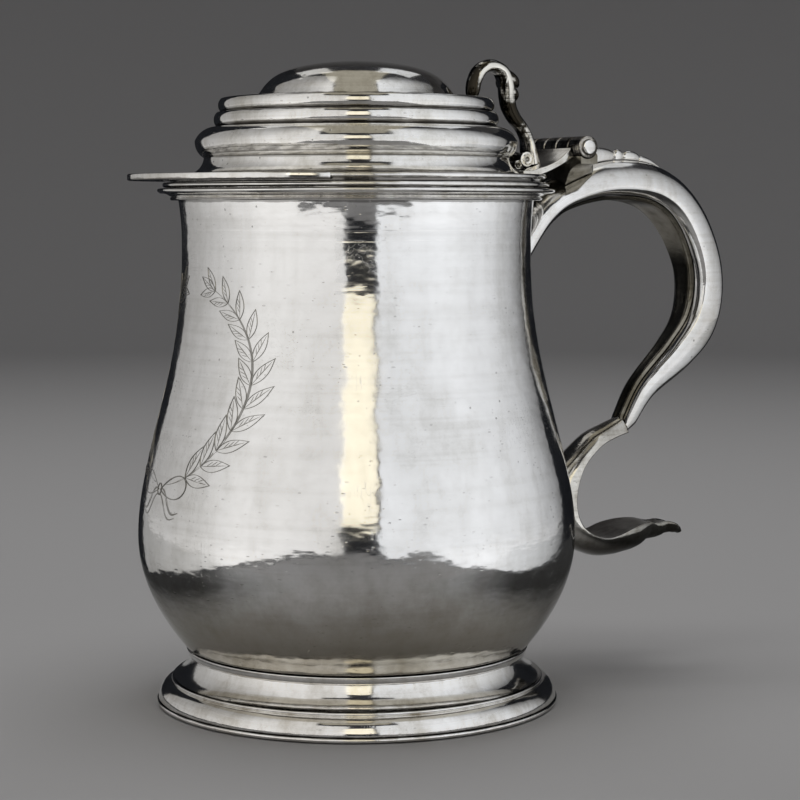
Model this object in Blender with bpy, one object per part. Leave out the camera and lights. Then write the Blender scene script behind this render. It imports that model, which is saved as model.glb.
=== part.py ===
"""Silver lidded tankard with a pear-shaped body, an S-scroll handle and a hinged domed lid.

Lengths are in metres, +Z is up, the handle points along +X and the lid's lip along -X.
Profiles are written from the vessel's own axis; an empty then centres the whole on the origin.
"""
import math

import bmesh
import bpy
from mathutils import Vector

MM = 0.001

# Fits
SOLDER_GAP = 0.3 * MM
LID_REST_GAP = 0.3 * MM
KNUCKLE_GAP = 0.3 * MM
PIN_CLEARANCE = 0.3 * MM
BEZEL_CLEARANCE = 1.6 * MM

# Body
RIM_HEIGHT = 163.3 * MM
MOUTH_RADIUS = 56.9 * MM
NECK_RADIUS = 55.3 * MM
NECK_DROP = 16.3 * MM
BELLY_RADIUS = 69.9 * MM
BELLY_HEIGHT = 53.5 * MM
BASE_RADIUS = 54.4 * MM
WALL = 1.1 * MM
BODY_WAIST_BIAS = 1.25
BOTTOM_FLAT_RADIUS = 45.0 * MM
BOTTOM_SINK = 3.6 * MM

# Rim moulding
RIM_PROJECTION = 6.0 * MM
RIM_EDGE_THICKNESS = 1.5 * MM
RIM_BEAD_PROJECTION = 1.5 * MM
RIM_BEAD_HEIGHT = 1.2 * MM
RIM_COVE_HEIGHT = 1.0 * MM

# Foot
FOOT_RADIUS = 64.5 * MM
FOOT_WIRE_HEIGHT = 1.5 * MM
FOOT_WIRE_WIDTH = 3.0 * MM
FOOT_RING_HEIGHT = 6.3 * MM
FOOT_STEP_RADIUS = 59.3 * MM
FOOT_RING_WALL = 2.0 * MM
FOOT_COLLAR_HEIGHT = 6.6 * MM
FOOT_COLLAR_WALL = 1.5 * MM
FOOT_COLLAR_INSET = 1.4 * MM
FOOT_BEAD_HEIGHT = 2.3 * MM
FOOT_BEAD_WIDTH = 2.4 * MM
FOOT_BEAD_INSET = 1.9 * MM

# Lid
LID_WIRE_HEIGHT = 1.6 * MM
LID_WIRE_RADIUS = 61.2 * MM
LID_WIRE_WIDTH = 4.0 * MM
FLANGE_RADIUS = 60.6 * MM
FLANGE_THICKNESS = 2.2 * MM
LID_WALL = 1.1 * MM
LID_NECK_RADIUS = 48.2 * MM
LID_COVE_RISE = 5.2 * MM
LID_TORUS_RADIUS = 51.0 * MM
LID_TORUS_RISE = 9.7 * MM
LID_TORUS_MIDDLE_SHARE = 0.55
LID_TORUS_BULGE = 0.3
LID_STEP_LOW_RADIUS = 45.0 * MM
LID_STEP_LOW_RISE = 4.6 * MM
LID_STEP_HIGH_RADIUS = 43.6 * MM
LID_STEP_HIGH_RISE = 4.4 * MM
LID_STEP_ROUND = 0.9 * MM
LID_TOP_RISE = 0.6 * MM
LID_DOME_RADIUS = 31.4 * MM
LID_DOME_RISE = 11.0 * MM
BEZEL_WALL = 1.2 * MM
BEZEL_DEPTH = 5.0 * MM

# Lip at the front of the lid
LIP_REACH = 73.5 * MM
LIP_THICKNESS = 2.0 * MM
LIP_HALF_ANGLE = math.radians(56)
LIP_END_STEP = 1.2 * MM

# Hinge
HINGE_OUT = 12.7 * MM
HINGE_RISE = 13.7 * MM
BARREL_RADIUS = 3.6 * MM
PIN_RADIUS = 1.7 * MM
PIN_HEAD_RADIUS = 2.2 * MM
PIN_HEAD_HEIGHT = 0.7 * MM
KNUCKLE_LENGTH = 7.0 * MM
KNUCKLE_COUNT = 5
LID_PLATE_WIDTH = 27.0 * MM
LID_PLATE_THICKNESS = 2.3 * MM
LEAF_TOP_WIDTH = 35.0 * MM
LEAF_FOOT_WIDTH = 19.0 * MM
LEAF_BACK = 8.5 * MM
LEAF_FRONT = 2.5 * MM
LID_PLATE_MEETS = math.radians(205)
CRADLE_START = math.radians(-12)
CRADLE_END = math.radians(-130)

# Handle: the two scrolls meet in a plane from the break inside to the pointed corner outside,
# both measured from the widest point of the belly
BREAK_OUT = 29.5 * MM
BREAK_RISE = 31.5 * MM
CORNER_OUT = 31.6 * MM
CORNER_RISE = 27.6 * MM
HANDLE_WALL = 1.2 * MM
HANDLE_STRAP = 1.2 * MM
STRAP_SHARE = 0.6
FLANK_SHARE = 0.32
# Each station of the upper scroll: share of the drop from rim to break, stand-off from the
# line between them, depth of the section, width of the section
HANDLE_STATIONS = [
    (0.451, -23.4 * MM, 11.0 * MM, 23.0 * MM),
    (0.244, -4.4 * MM, 10.5 * MM, 22.5 * MM),
    (0.138, 6.8 * MM, 10.0 * MM, 22.0 * MM),
    (0.078, 17.4 * MM, 10.4 * MM, 22.0 * MM),
    (0.043, 33.5 * MM, 12.4 * MM, 22.0 * MM),
    (0.065, 48.9 * MM, 13.4 * MM, 22.5 * MM),
    (0.166, 55.0 * MM, 13.7 * MM, 22.7 * MM),
    (0.352, 54.2 * MM, 12.9 * MM, 22.7 * MM),
    (0.530, 46.2 * MM, 12.2 * MM, 22.0 * MM),
    (0.662, 34.0 * MM, 10.6 * MM, 20.0 * MM),
    (0.834, 14.2 * MM, 7.4 * MM, 16.0 * MM),
    (1.000, 0.0 * MM, 5.6 * MM, 13.0 * MM),
]
# Each station along the flat inner face of the lower scroll and tail: distance out from the
# widest point of the belly, height above it, depth to the rounded back, width
SCROLL_STATIONS = [
    (26.0 * MM, 26.2 * MM, 4.8 * MM, 14.0 * MM),
    (19.6 * MM, 23.6 * MM, 4.6 * MM, 14.6 * MM),
    (13.1 * MM, 18.0 * MM, 4.8 * MM, 15.6 * MM),
    (9.6 * MM, 11.0 * MM, 7.4 * MM, 16.4 * MM),
    (8.8 * MM, 4.0 * MM, 9.2 * MM, 17.2 * MM),
    (10.4 * MM, -1.8 * MM, 8.2 * MM, 18.2 * MM),
    (14.6 * MM, -5.6 * MM, 6.4 * MM, 19.2 * MM),
    (20.0 * MM, -7.2 * MM, 7.0 * MM, 20.2 * MM),
]
TAIL_STATIONS = [
    (24.6 * MM, -6.5 * MM, 8.0 * MM, 21.2 * MM),
    (29.6 * MM, -4.8 * MM, 9.2 * MM, 21.2 * MM),
    (35.0 * MM, -3.6 * MM, 9.2 * MM, 16.4 * MM),
    (40.0 * MM, -3.2 * MM, 8.2 * MM, 10.2 * MM),
    (44.5 * MM, -4.4 * MM, 5.6 * MM, 7.4 * MM),
    (48.5 * MM, -3.9 * MM, 5.0 * MM, 7.0 * MM),
    (52.5 * MM, -5.4 * MM, 3.4 * MM, 6.0 * MM),
    (55.8 * MM, -8.2 * MM, 1.6 * MM, 3.2 * MM),
]

# Drop on the handle's back: radius of each bead, from the hinge outwards
DROP_BEADS = [3.6 * MM, 3.0 * MM, 3.3 * MM, 2.6 * MM, 2.0 * MM]
DROP_WAIST = 0.62
DROP_HEIGHT_SHARE = 1.1

# Thumbpiece: centre line from its foot on the hinge plate, along X and up
THUMB_WIDTH = 7.0 * MM
THUMB_THICKNESS = 2.8 * MM
THUMB_SPUR = 1.4 * MM
THUMB_FOOT_IN = 11.6 * MM
THUMB_FOOT = 5.6 * MM
THUMB_FOOT_HEIGHT = 0.8 * MM
THUMB_LINE = [
    (-1.8 * MM, 4.0 * MM),
    (-5.8 * MM, 9.4 * MM),
    (-8.6 * MM, 15.4 * MM),
    (-9.2 * MM, 21.4 * MM),
    (-12.0 * MM, 26.8 * MM),
    (-16.6 * MM, 28.4 * MM),
    (-20.8 * MM, 25.4 * MM),
    (-22.2 * MM, 18.4 * MM),
]
THUMB_SPUR_STATION = 3

# Facets
TURN_STEPS = 36
ARC_STEPS = 3
SWEEP_STEPS = 2
ROUND_STEPS = 16

# Heights that follow from the sizes above
RIM_RADIUS = MOUTH_RADIUS + RIM_PROJECTION
NECK_HEIGHT = RIM_HEIGHT - NECK_DROP
FOOT_RING_BASE = FOOT_WIRE_HEIGHT + SOLDER_GAP
FOOT_STEP_HEIGHT = FOOT_RING_BASE + FOOT_RING_HEIGHT
FOOT_COLLAR_BASE = FOOT_STEP_HEIGHT + SOLDER_GAP
FOOT_COLLAR_TOP = FOOT_COLLAR_BASE + FOOT_COLLAR_HEIGHT
FOOT_BEAD_BASE = FOOT_COLLAR_TOP + SOLDER_GAP
BASE_HEIGHT = FOOT_BEAD_BASE + FOOT_BEAD_HEIGHT
BOTTOM_HEIGHT = BASE_HEIGHT - BOTTOM_SINK
LID_BASE = RIM_HEIGHT + LID_REST_GAP
FLANGE_BASE = LID_BASE + LID_WIRE_HEIGHT + SOLDER_GAP
FLANGE_TOP = FLANGE_BASE + FLANGE_THICKNESS
HINGE = Vector((RIM_RADIUS + HINGE_OUT, 0.0, RIM_HEIGHT + HINGE_RISE))
SEAT_RADIUS = BARREL_RADIUS + SOLDER_GAP
BREAK = Vector((BELLY_RADIUS + BREAK_OUT, BELLY_HEIGHT + BREAK_RISE))
CORNER = Vector((BELLY_RADIUS + CORNER_OUT, BELLY_HEIGHT + CORNER_RISE))


def body_radius(height):
    """Outer radius of the body at a height above the standing edge."""
    if height >= NECK_HEIGHT:
        share = (height - NECK_HEIGHT) / NECK_DROP
        return NECK_RADIUS + (MOUTH_RADIUS - NECK_RADIUS) * share ** 2
    if height >= BELLY_HEIGHT:
        share = ((NECK_HEIGHT - height) / (NECK_HEIGHT - BELLY_HEIGHT)) ** BODY_WAIST_BIAS
        return NECK_RADIUS + (BELLY_RADIUS - NECK_RADIUS) * share * share * (3 - 2 * share)
    share = (BELLY_HEIGHT - height) / (BELLY_HEIGHT - BASE_HEIGHT)
    return BELLY_RADIUS - (BELLY_RADIUS - BASE_RADIUS) * share ** 2


def spaced(start, end, count):
    """Heights from start to end, both included."""
    return [start + (end - start) * i / count for i in range(count + 1)]


def bowed(points, steps=ARC_STEPS):
    """Outline through (radius, height, bow): bow is the rise of an arc to the next point,
    positive to the right of the way of travel."""
    outline = []
    for (r, z, bow), (r_end, z_end, _) in zip(points, points[1:]):
        outline.append((r, z))
        if not bow:
            continue
        chord = math.hypot(r_end - r, z_end - z)
        across = ((z_end - z) / chord, -(r_end - r) / chord)
        radius = (chord * chord / 4 + bow * bow) / (2 * abs(bow))
        half = math.asin(min(1.0, chord / 2 / radius))
        if abs(bow) > chord / 2:
            half = math.pi - half
        for k in range(1, steps):
            angle = half * (2 * k / steps - 1)
            along = 0.5 + radius * math.sin(angle) / chord
            lift = radius * (math.cos(angle) - math.cos(half)) * math.copysign(1, bow)
            outline.append((r + (r_end - r) * along + across[0] * lift,
                            z + (z_end - z) * along + across[1] * lift))
    outline.append(points[-1][:2])
    return outline


def silver(name, tone, roughness):
    """Metal finish for one sub-part."""
    finish = bpy.data.materials.new(name)
    finish.use_nodes = True
    shader = finish.node_tree.nodes["Principled BSDF"]
    shader.inputs["Base Color"].default_value = (0.93 * tone, 0.91 * tone, 0.87 * tone, 1.0)
    shader.inputs["Metallic"].default_value = 1.0
    shader.inputs["Roughness"].default_value = roughness
    return finish


def place(name, mesh_data, parent, tone=0.95, roughness=0.18, smooth_angle=32):
    """Turn a bmesh into a named object under its parent empty."""
    bmesh.ops.recalc_face_normals(mesh_data, faces=mesh_data.faces)
    bmesh.ops.translate(mesh_data, vec=-Vector(parent["pivot"]), verts=mesh_data.verts)
    mesh = bpy.data.meshes.new(name)
    mesh_data.to_mesh(mesh)
    mesh_data.free()
    mesh.shade_smooth()
    mesh.set_sharp_from_angle(angle=math.radians(smooth_angle))
    mesh.materials.append(silver(name + "_silver", tone, roughness))
    piece = bpy.data.objects.new(name, mesh)
    bpy.context.collection.objects.link(piece)
    piece.parent = parent
    return piece


def empty(name, pivot, parent=None):
    """Carrier whose origin is given in the vessel's own frame."""
    carrier = bpy.data.objects.new(name, None)
    bpy.context.collection.objects.link(carrier)
    carrier["pivot"] = list(pivot)
    carrier.location = Vector(pivot)
    if parent:
        carrier.parent = parent
        carrier.location = Vector(pivot) - Vector(parent["pivot"])
    return carrier


def turned(outline, steps=TURN_STEPS):
    """Spin a closed (radius, height) outline about the vessel's axis."""
    mesh_data = bmesh.new()
    verts = [mesh_data.verts.new((r, 0.0, z)) for r, z in outline]
    on_axis = outline[0][0] == 0.0 and outline[-1][0] == 0.0
    pairs = list(zip(verts, verts[1:]))
    if not on_axis:
        pairs.append((verts[-1], verts[0]))
    edges = [mesh_data.edges.new(pair) for pair in pairs]
    bmesh.ops.spin(mesh_data, geom=verts + edges, cent=(0, 0, 0), axis=(0, 0, 1),
                   angle=2 * math.pi, steps=steps, use_merge=True)
    bmesh.ops.remove_doubles(mesh_data, verts=mesh_data.verts, dist=1e-7)
    return mesh_data


def lofted(sections):
    """Skin a row of equal point rings and cap both ends."""
    mesh_data = bmesh.new()
    rings = [[mesh_data.verts.new(point) for point in section] for section in sections]
    for ring, following in zip(rings, rings[1:]):
        for i, corner in enumerate(ring):
            j = (i + 1) % len(ring)
            mesh_data.faces.new((corner, ring[j], following[j], following[i]))
    mesh_data.faces.new(rings[0])
    mesh_data.faces.new(rings[-1])
    return mesh_data


def plate(outline, halves):
    """Solid from an (x, z) outline with the half width at each of its points."""
    near = [Vector((x, -half, z)) for (x, z), half in zip(outline, halves)]
    far = [Vector((x, half, z)) for (x, z), half in zip(outline, halves)]
    return lofted([near, far])


def drum(start, end, radius, bore=None):
    """Round bar along Y about the hinge axis, with an optional bore."""
    angles = [2 * math.pi * k / ROUND_STEPS for k in range(ROUND_STEPS)]

    def ring(y, size):
        return [HINGE + Vector((size * math.cos(a), y, size * math.sin(a))) for a in angles]

    if bore is None:
        return lofted([ring(start, radius), ring(end, radius)])
    mesh_data = bmesh.new()
    loops = [ring(start, radius), ring(end, radius), ring(end, bore), ring(start, bore)]
    rings = [[mesh_data.verts.new(point) for point in loop] for loop in loops]
    for ring_a, ring_b in zip(rings, rings[1:] + rings[:1]):
        for i, corner in enumerate(ring_a):
            j = (i + 1) % ROUND_STEPS
            mesh_data.faces.new((corner, ring_a[j], ring_b[j], ring_b[i]))
    return mesh_data


def upper_height(outline, x):
    """Height of the upper side of an (x, z) outline at x."""
    heights = []
    for (x0, z0), (x1, z1) in zip(outline, outline[1:]):
        if x0 != x1 and min(x0, x1) <= x <= max(x0, x1):
            heights.append(z0 + (z1 - z0) * (x - x0) / (x1 - x0))
    return max(heights)


def smooth_line(stations, steps=SWEEP_STEPS):
    """Smooth curve through stations of any number of values."""
    first = [2 * a - b for a, b in zip(stations[0], stations[1])]
    last = [2 * a - b for a, b in zip(stations[-1], stations[-2])]
    row = [first] + [list(s) for s in stations] + [last]
    line = []
    for p, q, s, t in zip(row, row[1:], row[2:], row[3:]):
        for k in range(steps):
            f = k / steps
            line.append([b + 0.5 * f * (c - a + f * (2 * a - 5 * b + 4 * c - d
                         + f * (3 * (b - c) + d - a))) for a, b, c, d in zip(p, q, s, t)])
    line.append(list(stations[-1]))
    return line


def frames(line):
    """Points of a scroll with the direction away from the vessel, square to its run."""
    result = []
    for i, (r, z, depth, width) in enumerate(line):
        ahead = line[min(i + 1, len(line) - 1)]
        behind = line[max(i - 1, 0)]
        run = Vector((ahead[0] - behind[0], ahead[1] - behind[1])).normalized()
        result.append([Vector((r, z)), Vector((-run[1], run[0])), depth, width])
    return result


def handle_section(width, depth):
    """Corners of the handle's section: flat strap side first, then flank and rounded back."""
    half = width / 2
    strap = half * STRAP_SHARE
    flank = depth * FLANK_SHARE
    back = [(half * math.cos(a), flank + (depth - flank) * math.sin(a))
            for a in spaced(0.0, math.pi, 8)]
    return strap, half, flank, back


def scroll_section(width, depth):
    """Corners of the lower scroll's section: flat face outside, rounded back to the vessel."""
    return [(width / 2 * math.cos(a), -depth * math.sin(a)) for a in spaced(0.0, math.pi, 10)]


def in_space(frame, corners):
    """Place section corners (across, out) at a frame of a scroll."""
    point, out = frame[0], frame[1]
    return [Vector((point[0] + out[0] * v, u, point[1] + out[1] * v)) for u, v in corners]


def upper_line():
    """Stations of the upper scroll in the vessel's frame."""
    rows = []
    for share, stand_off, depth, width in HANDLE_STATIONS:
        r = MOUTH_RADIUS + (BREAK[0] - MOUTH_RADIUS) * share + stand_off
        z = RIM_HEIGHT + (BREAK[1] - RIM_HEIGHT) * share
        rows.append((r, z, depth, width))
    return rows


def belly_line(stations):
    """Stations of the lower scroll or tail in the vessel's frame."""
    return [(BELLY_RADIUS + out, BELLY_HEIGHT + up, d, w) for out, up, d, w in stations]


def mitre(upper, lower):
    """Turn the two meeting end sections into the plane from the break to the pointed corner."""
    across = (CORNER - BREAK).normalized()
    along = Vector((across[1], -across[0])) * SOLDER_GAP / 2
    upper[-1][:3] = [BREAK - along, across, (CORNER - BREAK).length]
    lower[0][:3] = [CORNER + along, across, (CORNER - BREAK).length]


def cut_clear(piece, outline, parent):
    """Trim a handle piece to the vessel, leaving the solder gap."""
    cutter = place(piece.name + "_seat", turned(outline), parent)
    cutter.hide_render = True
    cutter.display_type = "WIRE"
    cut = piece.modifiers.new("vessel seat", "BOOLEAN")
    cut.operation = "DIFFERENCE"
    cut.solver = "EXACT"
    cut.object = cutter


def make_body(vessel):
    """Raised body with a closed bottom."""
    outer = [(body_radius(z), z) for z in spaced(RIM_HEIGHT, NECK_HEIGHT, 2)]
    outer += [(body_radius(z), z) for z in spaced(NECK_HEIGHT, BELLY_HEIGHT, 8)[1:]]
    outer += [(body_radius(z), z) for z in spaced(BELLY_HEIGHT, BASE_HEIGHT, 5)[1:]]
    inner = [(r - WALL, z) for r, z in reversed(outer[:-1])]
    bottom = [(BOTTOM_FLAT_RADIUS, BOTTOM_HEIGHT), (0.0, BOTTOM_HEIGHT)]
    floor = [(0.0, BOTTOM_HEIGHT + WALL), (BOTTOM_FLAT_RADIUS, BOTTOM_HEIGHT + WALL),
             (BASE_RADIUS - WALL / 2, BASE_HEIGHT + WALL)]
    outline = floor + inner + outer + bottom
    place("body", turned(outline), vessel, tone=0.96)


def make_rim(vessel):
    """Projecting edge, cove and bead round the mouth."""
    inner = MOUTH_RADIUS + SOLDER_GAP
    edge_low = RIM_HEIGHT - RIM_EDGE_THICKNESS
    bead_top = edge_low - RIM_COVE_HEIGHT
    bead_low = bead_top - RIM_BEAD_HEIGHT
    bead = inner + RIM_BEAD_PROJECTION
    outline = bowed([
        (inner, RIM_HEIGHT, 0),
        (RIM_RADIUS - RIM_EDGE_THICKNESS / 2, RIM_HEIGHT, -RIM_EDGE_THICKNESS / 2),
        (RIM_RADIUS - RIM_EDGE_THICKNESS / 2, edge_low, 0),
        (bead + RIM_COVE_HEIGHT, edge_low, RIM_COVE_HEIGHT / 4),
        (bead, bead_top, -RIM_BEAD_HEIGHT / 3),
        (bead, bead_low, 0),
        (inner, bead_low, 0),
    ])
    place("rim_moulding", turned(outline), vessel)
    return bead_low


def make_foot(vessel):
    """Standing wire, rounded moulding, cavetto collar and the bead under the body."""
    wire = FOOT_WIRE_HEIGHT
    place("foot_wire", turned(bowed([
        (FOOT_RADIUS - wire / 2, wire, -wire / 2),
        (FOOT_RADIUS - wire / 2, 0.0, 0),
        (FOOT_RADIUS - FOOT_WIRE_WIDTH, 0.0, 0),
        (FOOT_RADIUS - FOOT_WIRE_WIDTH, wire, 0),
    ])), vessel)
    spread = FOOT_RADIUS - FOOT_STEP_RADIUS
    inner_edge = FOOT_RADIUS - FOOT_WIRE_WIDTH
    place("foot_ring", turned(bowed([
        (FOOT_STEP_RADIUS, FOOT_STEP_HEIGHT, -spread / 4),
        (FOOT_RADIUS - wire / 3, FOOT_RING_BASE, 0),
        (inner_edge, FOOT_RING_BASE, spread / 6),
        (FOOT_STEP_RADIUS - FOOT_RING_WALL, FOOT_STEP_HEIGHT, 0),
    ], 5)), vessel)
    top = BASE_RADIUS - FOOT_COLLAR_INSET
    collar_base = FOOT_STEP_RADIUS - SOLDER_GAP
    place("foot_collar", turned(bowed([
        (top, FOOT_COLLAR_TOP, FOOT_COLLAR_HEIGHT / 5),
        (collar_base, FOOT_COLLAR_BASE, 0),
        (collar_base - FOOT_COLLAR_WALL, FOOT_COLLAR_BASE, -FOOT_COLLAR_HEIGHT / 5),
        (top - FOOT_COLLAR_WALL, FOOT_COLLAR_TOP, 0),
    ], 4)), vessel)
    bead_outer = BASE_RADIUS + FOOT_BEAD_WIDTH - FOOT_BEAD_INSET
    bead_inner = BASE_RADIUS - FOOT_BEAD_INSET
    bead_seat = FOOT_BEAD_BASE + FOOT_BEAD_HEIGHT / 4
    place("foot_bead", turned(bowed([
        (BASE_RADIUS + SOLDER_GAP, BASE_HEIGHT, -FOOT_BEAD_HEIGHT / 5),
        (bead_outer - FOOT_BEAD_HEIGHT / 4, FOOT_BEAD_BASE, 0),
        (bead_inner, FOOT_BEAD_BASE, 0),
        (bead_inner, bead_seat, 0),
    ])), vessel)


def lid_line():
    """Outer line of the lid, from the crown down to the edge of the flange."""
    torus_base = FLANGE_TOP + LID_COVE_RISE
    torus_middle = torus_base + LID_TORUS_RISE * LID_TORUS_MIDDLE_SHARE
    torus_top = torus_base + LID_TORUS_RISE
    low_top = torus_top + LID_STEP_LOW_RISE
    high_top = low_top + LID_STEP_HIGH_RISE
    dome_base = high_top + LID_TOP_RISE
    dome = [(LID_DOME_RADIUS * math.cos(a) ** (2 / 3), dome_base + LID_DOME_RISE * math.sin(a), 0)
            for a in spaced(0.0, math.pi / 2, 6)]
    dome[-1] = (0.0, dome_base + LID_DOME_RISE, 0)
    high_edge = LID_STEP_HIGH_RADIUS - LID_STEP_ROUND
    low_edge = LID_STEP_LOW_RADIUS - LID_STEP_ROUND
    upper_swell = (torus_top - torus_middle) * LID_TORUS_BULGE
    lower_swell = (LID_TORUS_RADIUS - LID_NECK_RADIUS) * LID_TORUS_BULGE
    return list(reversed(dome)) + [
        (high_edge, high_top, -LID_STEP_ROUND),
        (high_edge, low_top, 0),
        (low_edge, low_top, -LID_STEP_ROUND),
        (low_edge, torus_top, -upper_swell),
        (LID_TORUS_RADIUS, torus_middle, -lower_swell),
        (LID_NECK_RADIUS, torus_base, LID_COVE_RISE / 4),
        (LID_NECK_RADIUS + LID_COVE_RISE, FLANGE_TOP, 0),
    ]


def make_lid(cover):
    """Stepped dome with its flange, the wire under the flange and the locating bezel."""
    line = lid_line()
    edge = FLANGE_THICKNESS / 2
    outer = bowed(line + [
        (FLANGE_RADIUS - edge, FLANGE_TOP, -edge),
        (FLANGE_RADIUS - edge, FLANGE_BASE, 0),
    ])
    mouth = LID_NECK_RADIUS - LID_WALL
    inner = [(0.0, line[0][1] - LID_WALL)]
    inner += [(r - LID_WALL, z - LID_WALL) for r, z, bow in line[1:-1]]
    inner.append((mouth, FLANGE_BASE))
    place("lid", turned(outer + list(reversed(inner))), cover, tone=0.96)
    low = LID_BASE
    wire = LID_WIRE_HEIGHT
    place("lid_rim_wire", turned(bowed([
        (LID_WIRE_RADIUS - wire / 2, low + wire, -wire / 2),
        (LID_WIRE_RADIUS - wire / 2, low, 0),
        (LID_WIRE_RADIUS - LID_WIRE_WIDTH, low, 0),
        (LID_WIRE_RADIUS - LID_WIRE_WIDTH, low + wire, 0),
    ])), cover)
    bezel = body_radius(RIM_HEIGHT - BEZEL_DEPTH) - WALL - BEZEL_CLEARANCE
    top = FLANGE_BASE - SOLDER_GAP
    place("lid_bezel", turned([
        (bezel, top),
        (bezel, RIM_HEIGHT - BEZEL_DEPTH),
        (bezel - BEZEL_WALL, RIM_HEIGHT - BEZEL_DEPTH),
        (bezel - BEZEL_WALL, top),
    ]), cover)


def make_lip(cover):
    """Flat crescent in front of the flange, an arc through both ends and the tip."""
    inner = FLANGE_RADIUS + SOLDER_GAP
    end_x = (inner + LIP_END_STEP) * math.cos(LIP_HALF_ANGLE)
    end_y = (inner + LIP_END_STEP) * math.sin(LIP_HALF_ANGLE)
    centre = (LIP_REACH ** 2 - end_x ** 2 - end_y ** 2) / (2 * (LIP_REACH - end_x))
    radius = LIP_REACH - centre
    sweep = math.atan2(end_y, end_x - centre)
    outline = [(-centre - radius * math.cos(a), radius * math.sin(a))
               for a in spaced(sweep, -sweep, 16)]
    outline += [(-inner * math.cos(a), inner * math.sin(a))
                for a in spaced(-LIP_HALF_ANGLE, LIP_HALF_ANGLE, 14)]
    top = FLANGE_TOP
    rings = [[Vector((x, y, z)) for x, y in outline] for z in (top - LIP_THICKNESS, top)]
    place("front_lip", lofted(rings), cover)


def knuckle_span(index):
    """Start and end of one knuckle along the pin."""
    pitch = KNUCKLE_LENGTH + KNUCKLE_GAP
    start = (index - KNUCKLE_COUNT / 2) * pitch + KNUCKLE_GAP / 2
    return start, start + KNUCKLE_LENGTH


def make_hinge(vessel, cover):
    """Knuckles, alternately of the handle and of the lid, on one pin with riveted heads."""
    bore = PIN_RADIUS + PIN_CLEARANCE
    counts = {"handle": 0, "lid": 0}
    for index in range(KNUCKLE_COUNT):
        side, parent = ("handle", vessel) if index % 2 == 0 else ("lid", cover)
        counts[side] += 1
        start, end = knuckle_span(index)
        place(f"{side}_knuckle_{counts[side]}", drum(start, end, BARREL_RADIUS, bore), parent)
    first = knuckle_span(0)[0]
    last = knuckle_span(KNUCKLE_COUNT - 1)[1]
    angles = [2 * math.pi * k / ROUND_STEPS for k in range(ROUND_STEPS)]
    outside = SOLDER_GAP + PIN_HEAD_HEIGHT
    rows = [(first - outside, PIN_HEAD_RADIUS), (first - SOLDER_GAP, PIN_HEAD_RADIUS),
            (first - SOLDER_GAP, PIN_RADIUS), (last + SOLDER_GAP, PIN_RADIUS),
            (last + SOLDER_GAP, PIN_HEAD_RADIUS), (last + outside, PIN_HEAD_RADIUS)]
    rings = [[HINGE + Vector((size * math.cos(a), y, size * math.sin(a))) for a in angles]
             for y, size in rows]
    place("hinge_pin", lofted(rings), vessel, tone=0.98, roughness=0.14)


def make_lid_plate(cover):
    """Leaf that lies on the flange and rises to the barrel of the hinge."""
    heel = FLANGE_RADIUS - FLANGE_THICKNESS / 2
    foot = FLANGE_TOP + SOLDER_GAP
    toe = LID_NECK_RADIUS + LID_COVE_RISE + SOLDER_GAP
    spread = LID_PLATE_THICKNESS / SEAT_RADIUS
    seat = [(HINGE.x + SEAT_RADIUS * math.cos(a), HINGE.z + SEAT_RADIUS * math.sin(a))
            for a in spaced(LID_PLATE_MEETS - spread / 2, LID_PLATE_MEETS + spread / 2, 3)]
    outline = bowed([
        (toe, foot, 0),
        (heel, foot, LID_PLATE_THICKNESS / 6),
        (seat[-1][0], seat[-1][1], 0),
        (seat[2][0], seat[2][1], 0),
        (seat[1][0], seat[1][1], 0),
        (seat[0][0], seat[0][1], -LID_PLATE_THICKNESS / 6),
        (heel - LID_PLATE_THICKNESS / 2, foot + LID_PLATE_THICKNESS * 0.8, 0),
        (toe, foot + LID_PLATE_THICKNESS * 0.5, 0),
    ])
    place("lid_hinge_plate", plate(outline, [LID_PLATE_WIDTH / 2] * len(outline)), cover)
    return outline


def make_leaf(vessel, back):
    """Leaf that stands on the handle under the barrel and carries the fixed knuckles."""
    front = HINGE.x - LEAF_FRONT
    rear = HINGE.x + LEAF_BACK
    seat = [(x, upper_height(back, x) + SOLDER_GAP) for x in spaced(front, rear, 2)]
    shoulder = HINGE.x + SEAT_RADIUS + LID_PLATE_THICKNESS
    cradle = [(HINGE.x + SEAT_RADIUS * math.cos(a), HINGE.z + SEAT_RADIUS * math.sin(a))
              for a in spaced(CRADLE_START, CRADLE_END, 6)]
    top = HINGE.z + SEAT_RADIUS * math.sin(CRADLE_START)
    outline = seat + [(shoulder, top)] + cradle
    low = LEAF_FOOT_WIDTH / 2
    wide = LEAF_TOP_WIDTH / 2
    halves = [low] * len(seat) + [wide] * (1 + len(cradle))
    place("handle_hinge_plate", plate(outline, halves), vessel)


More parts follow.
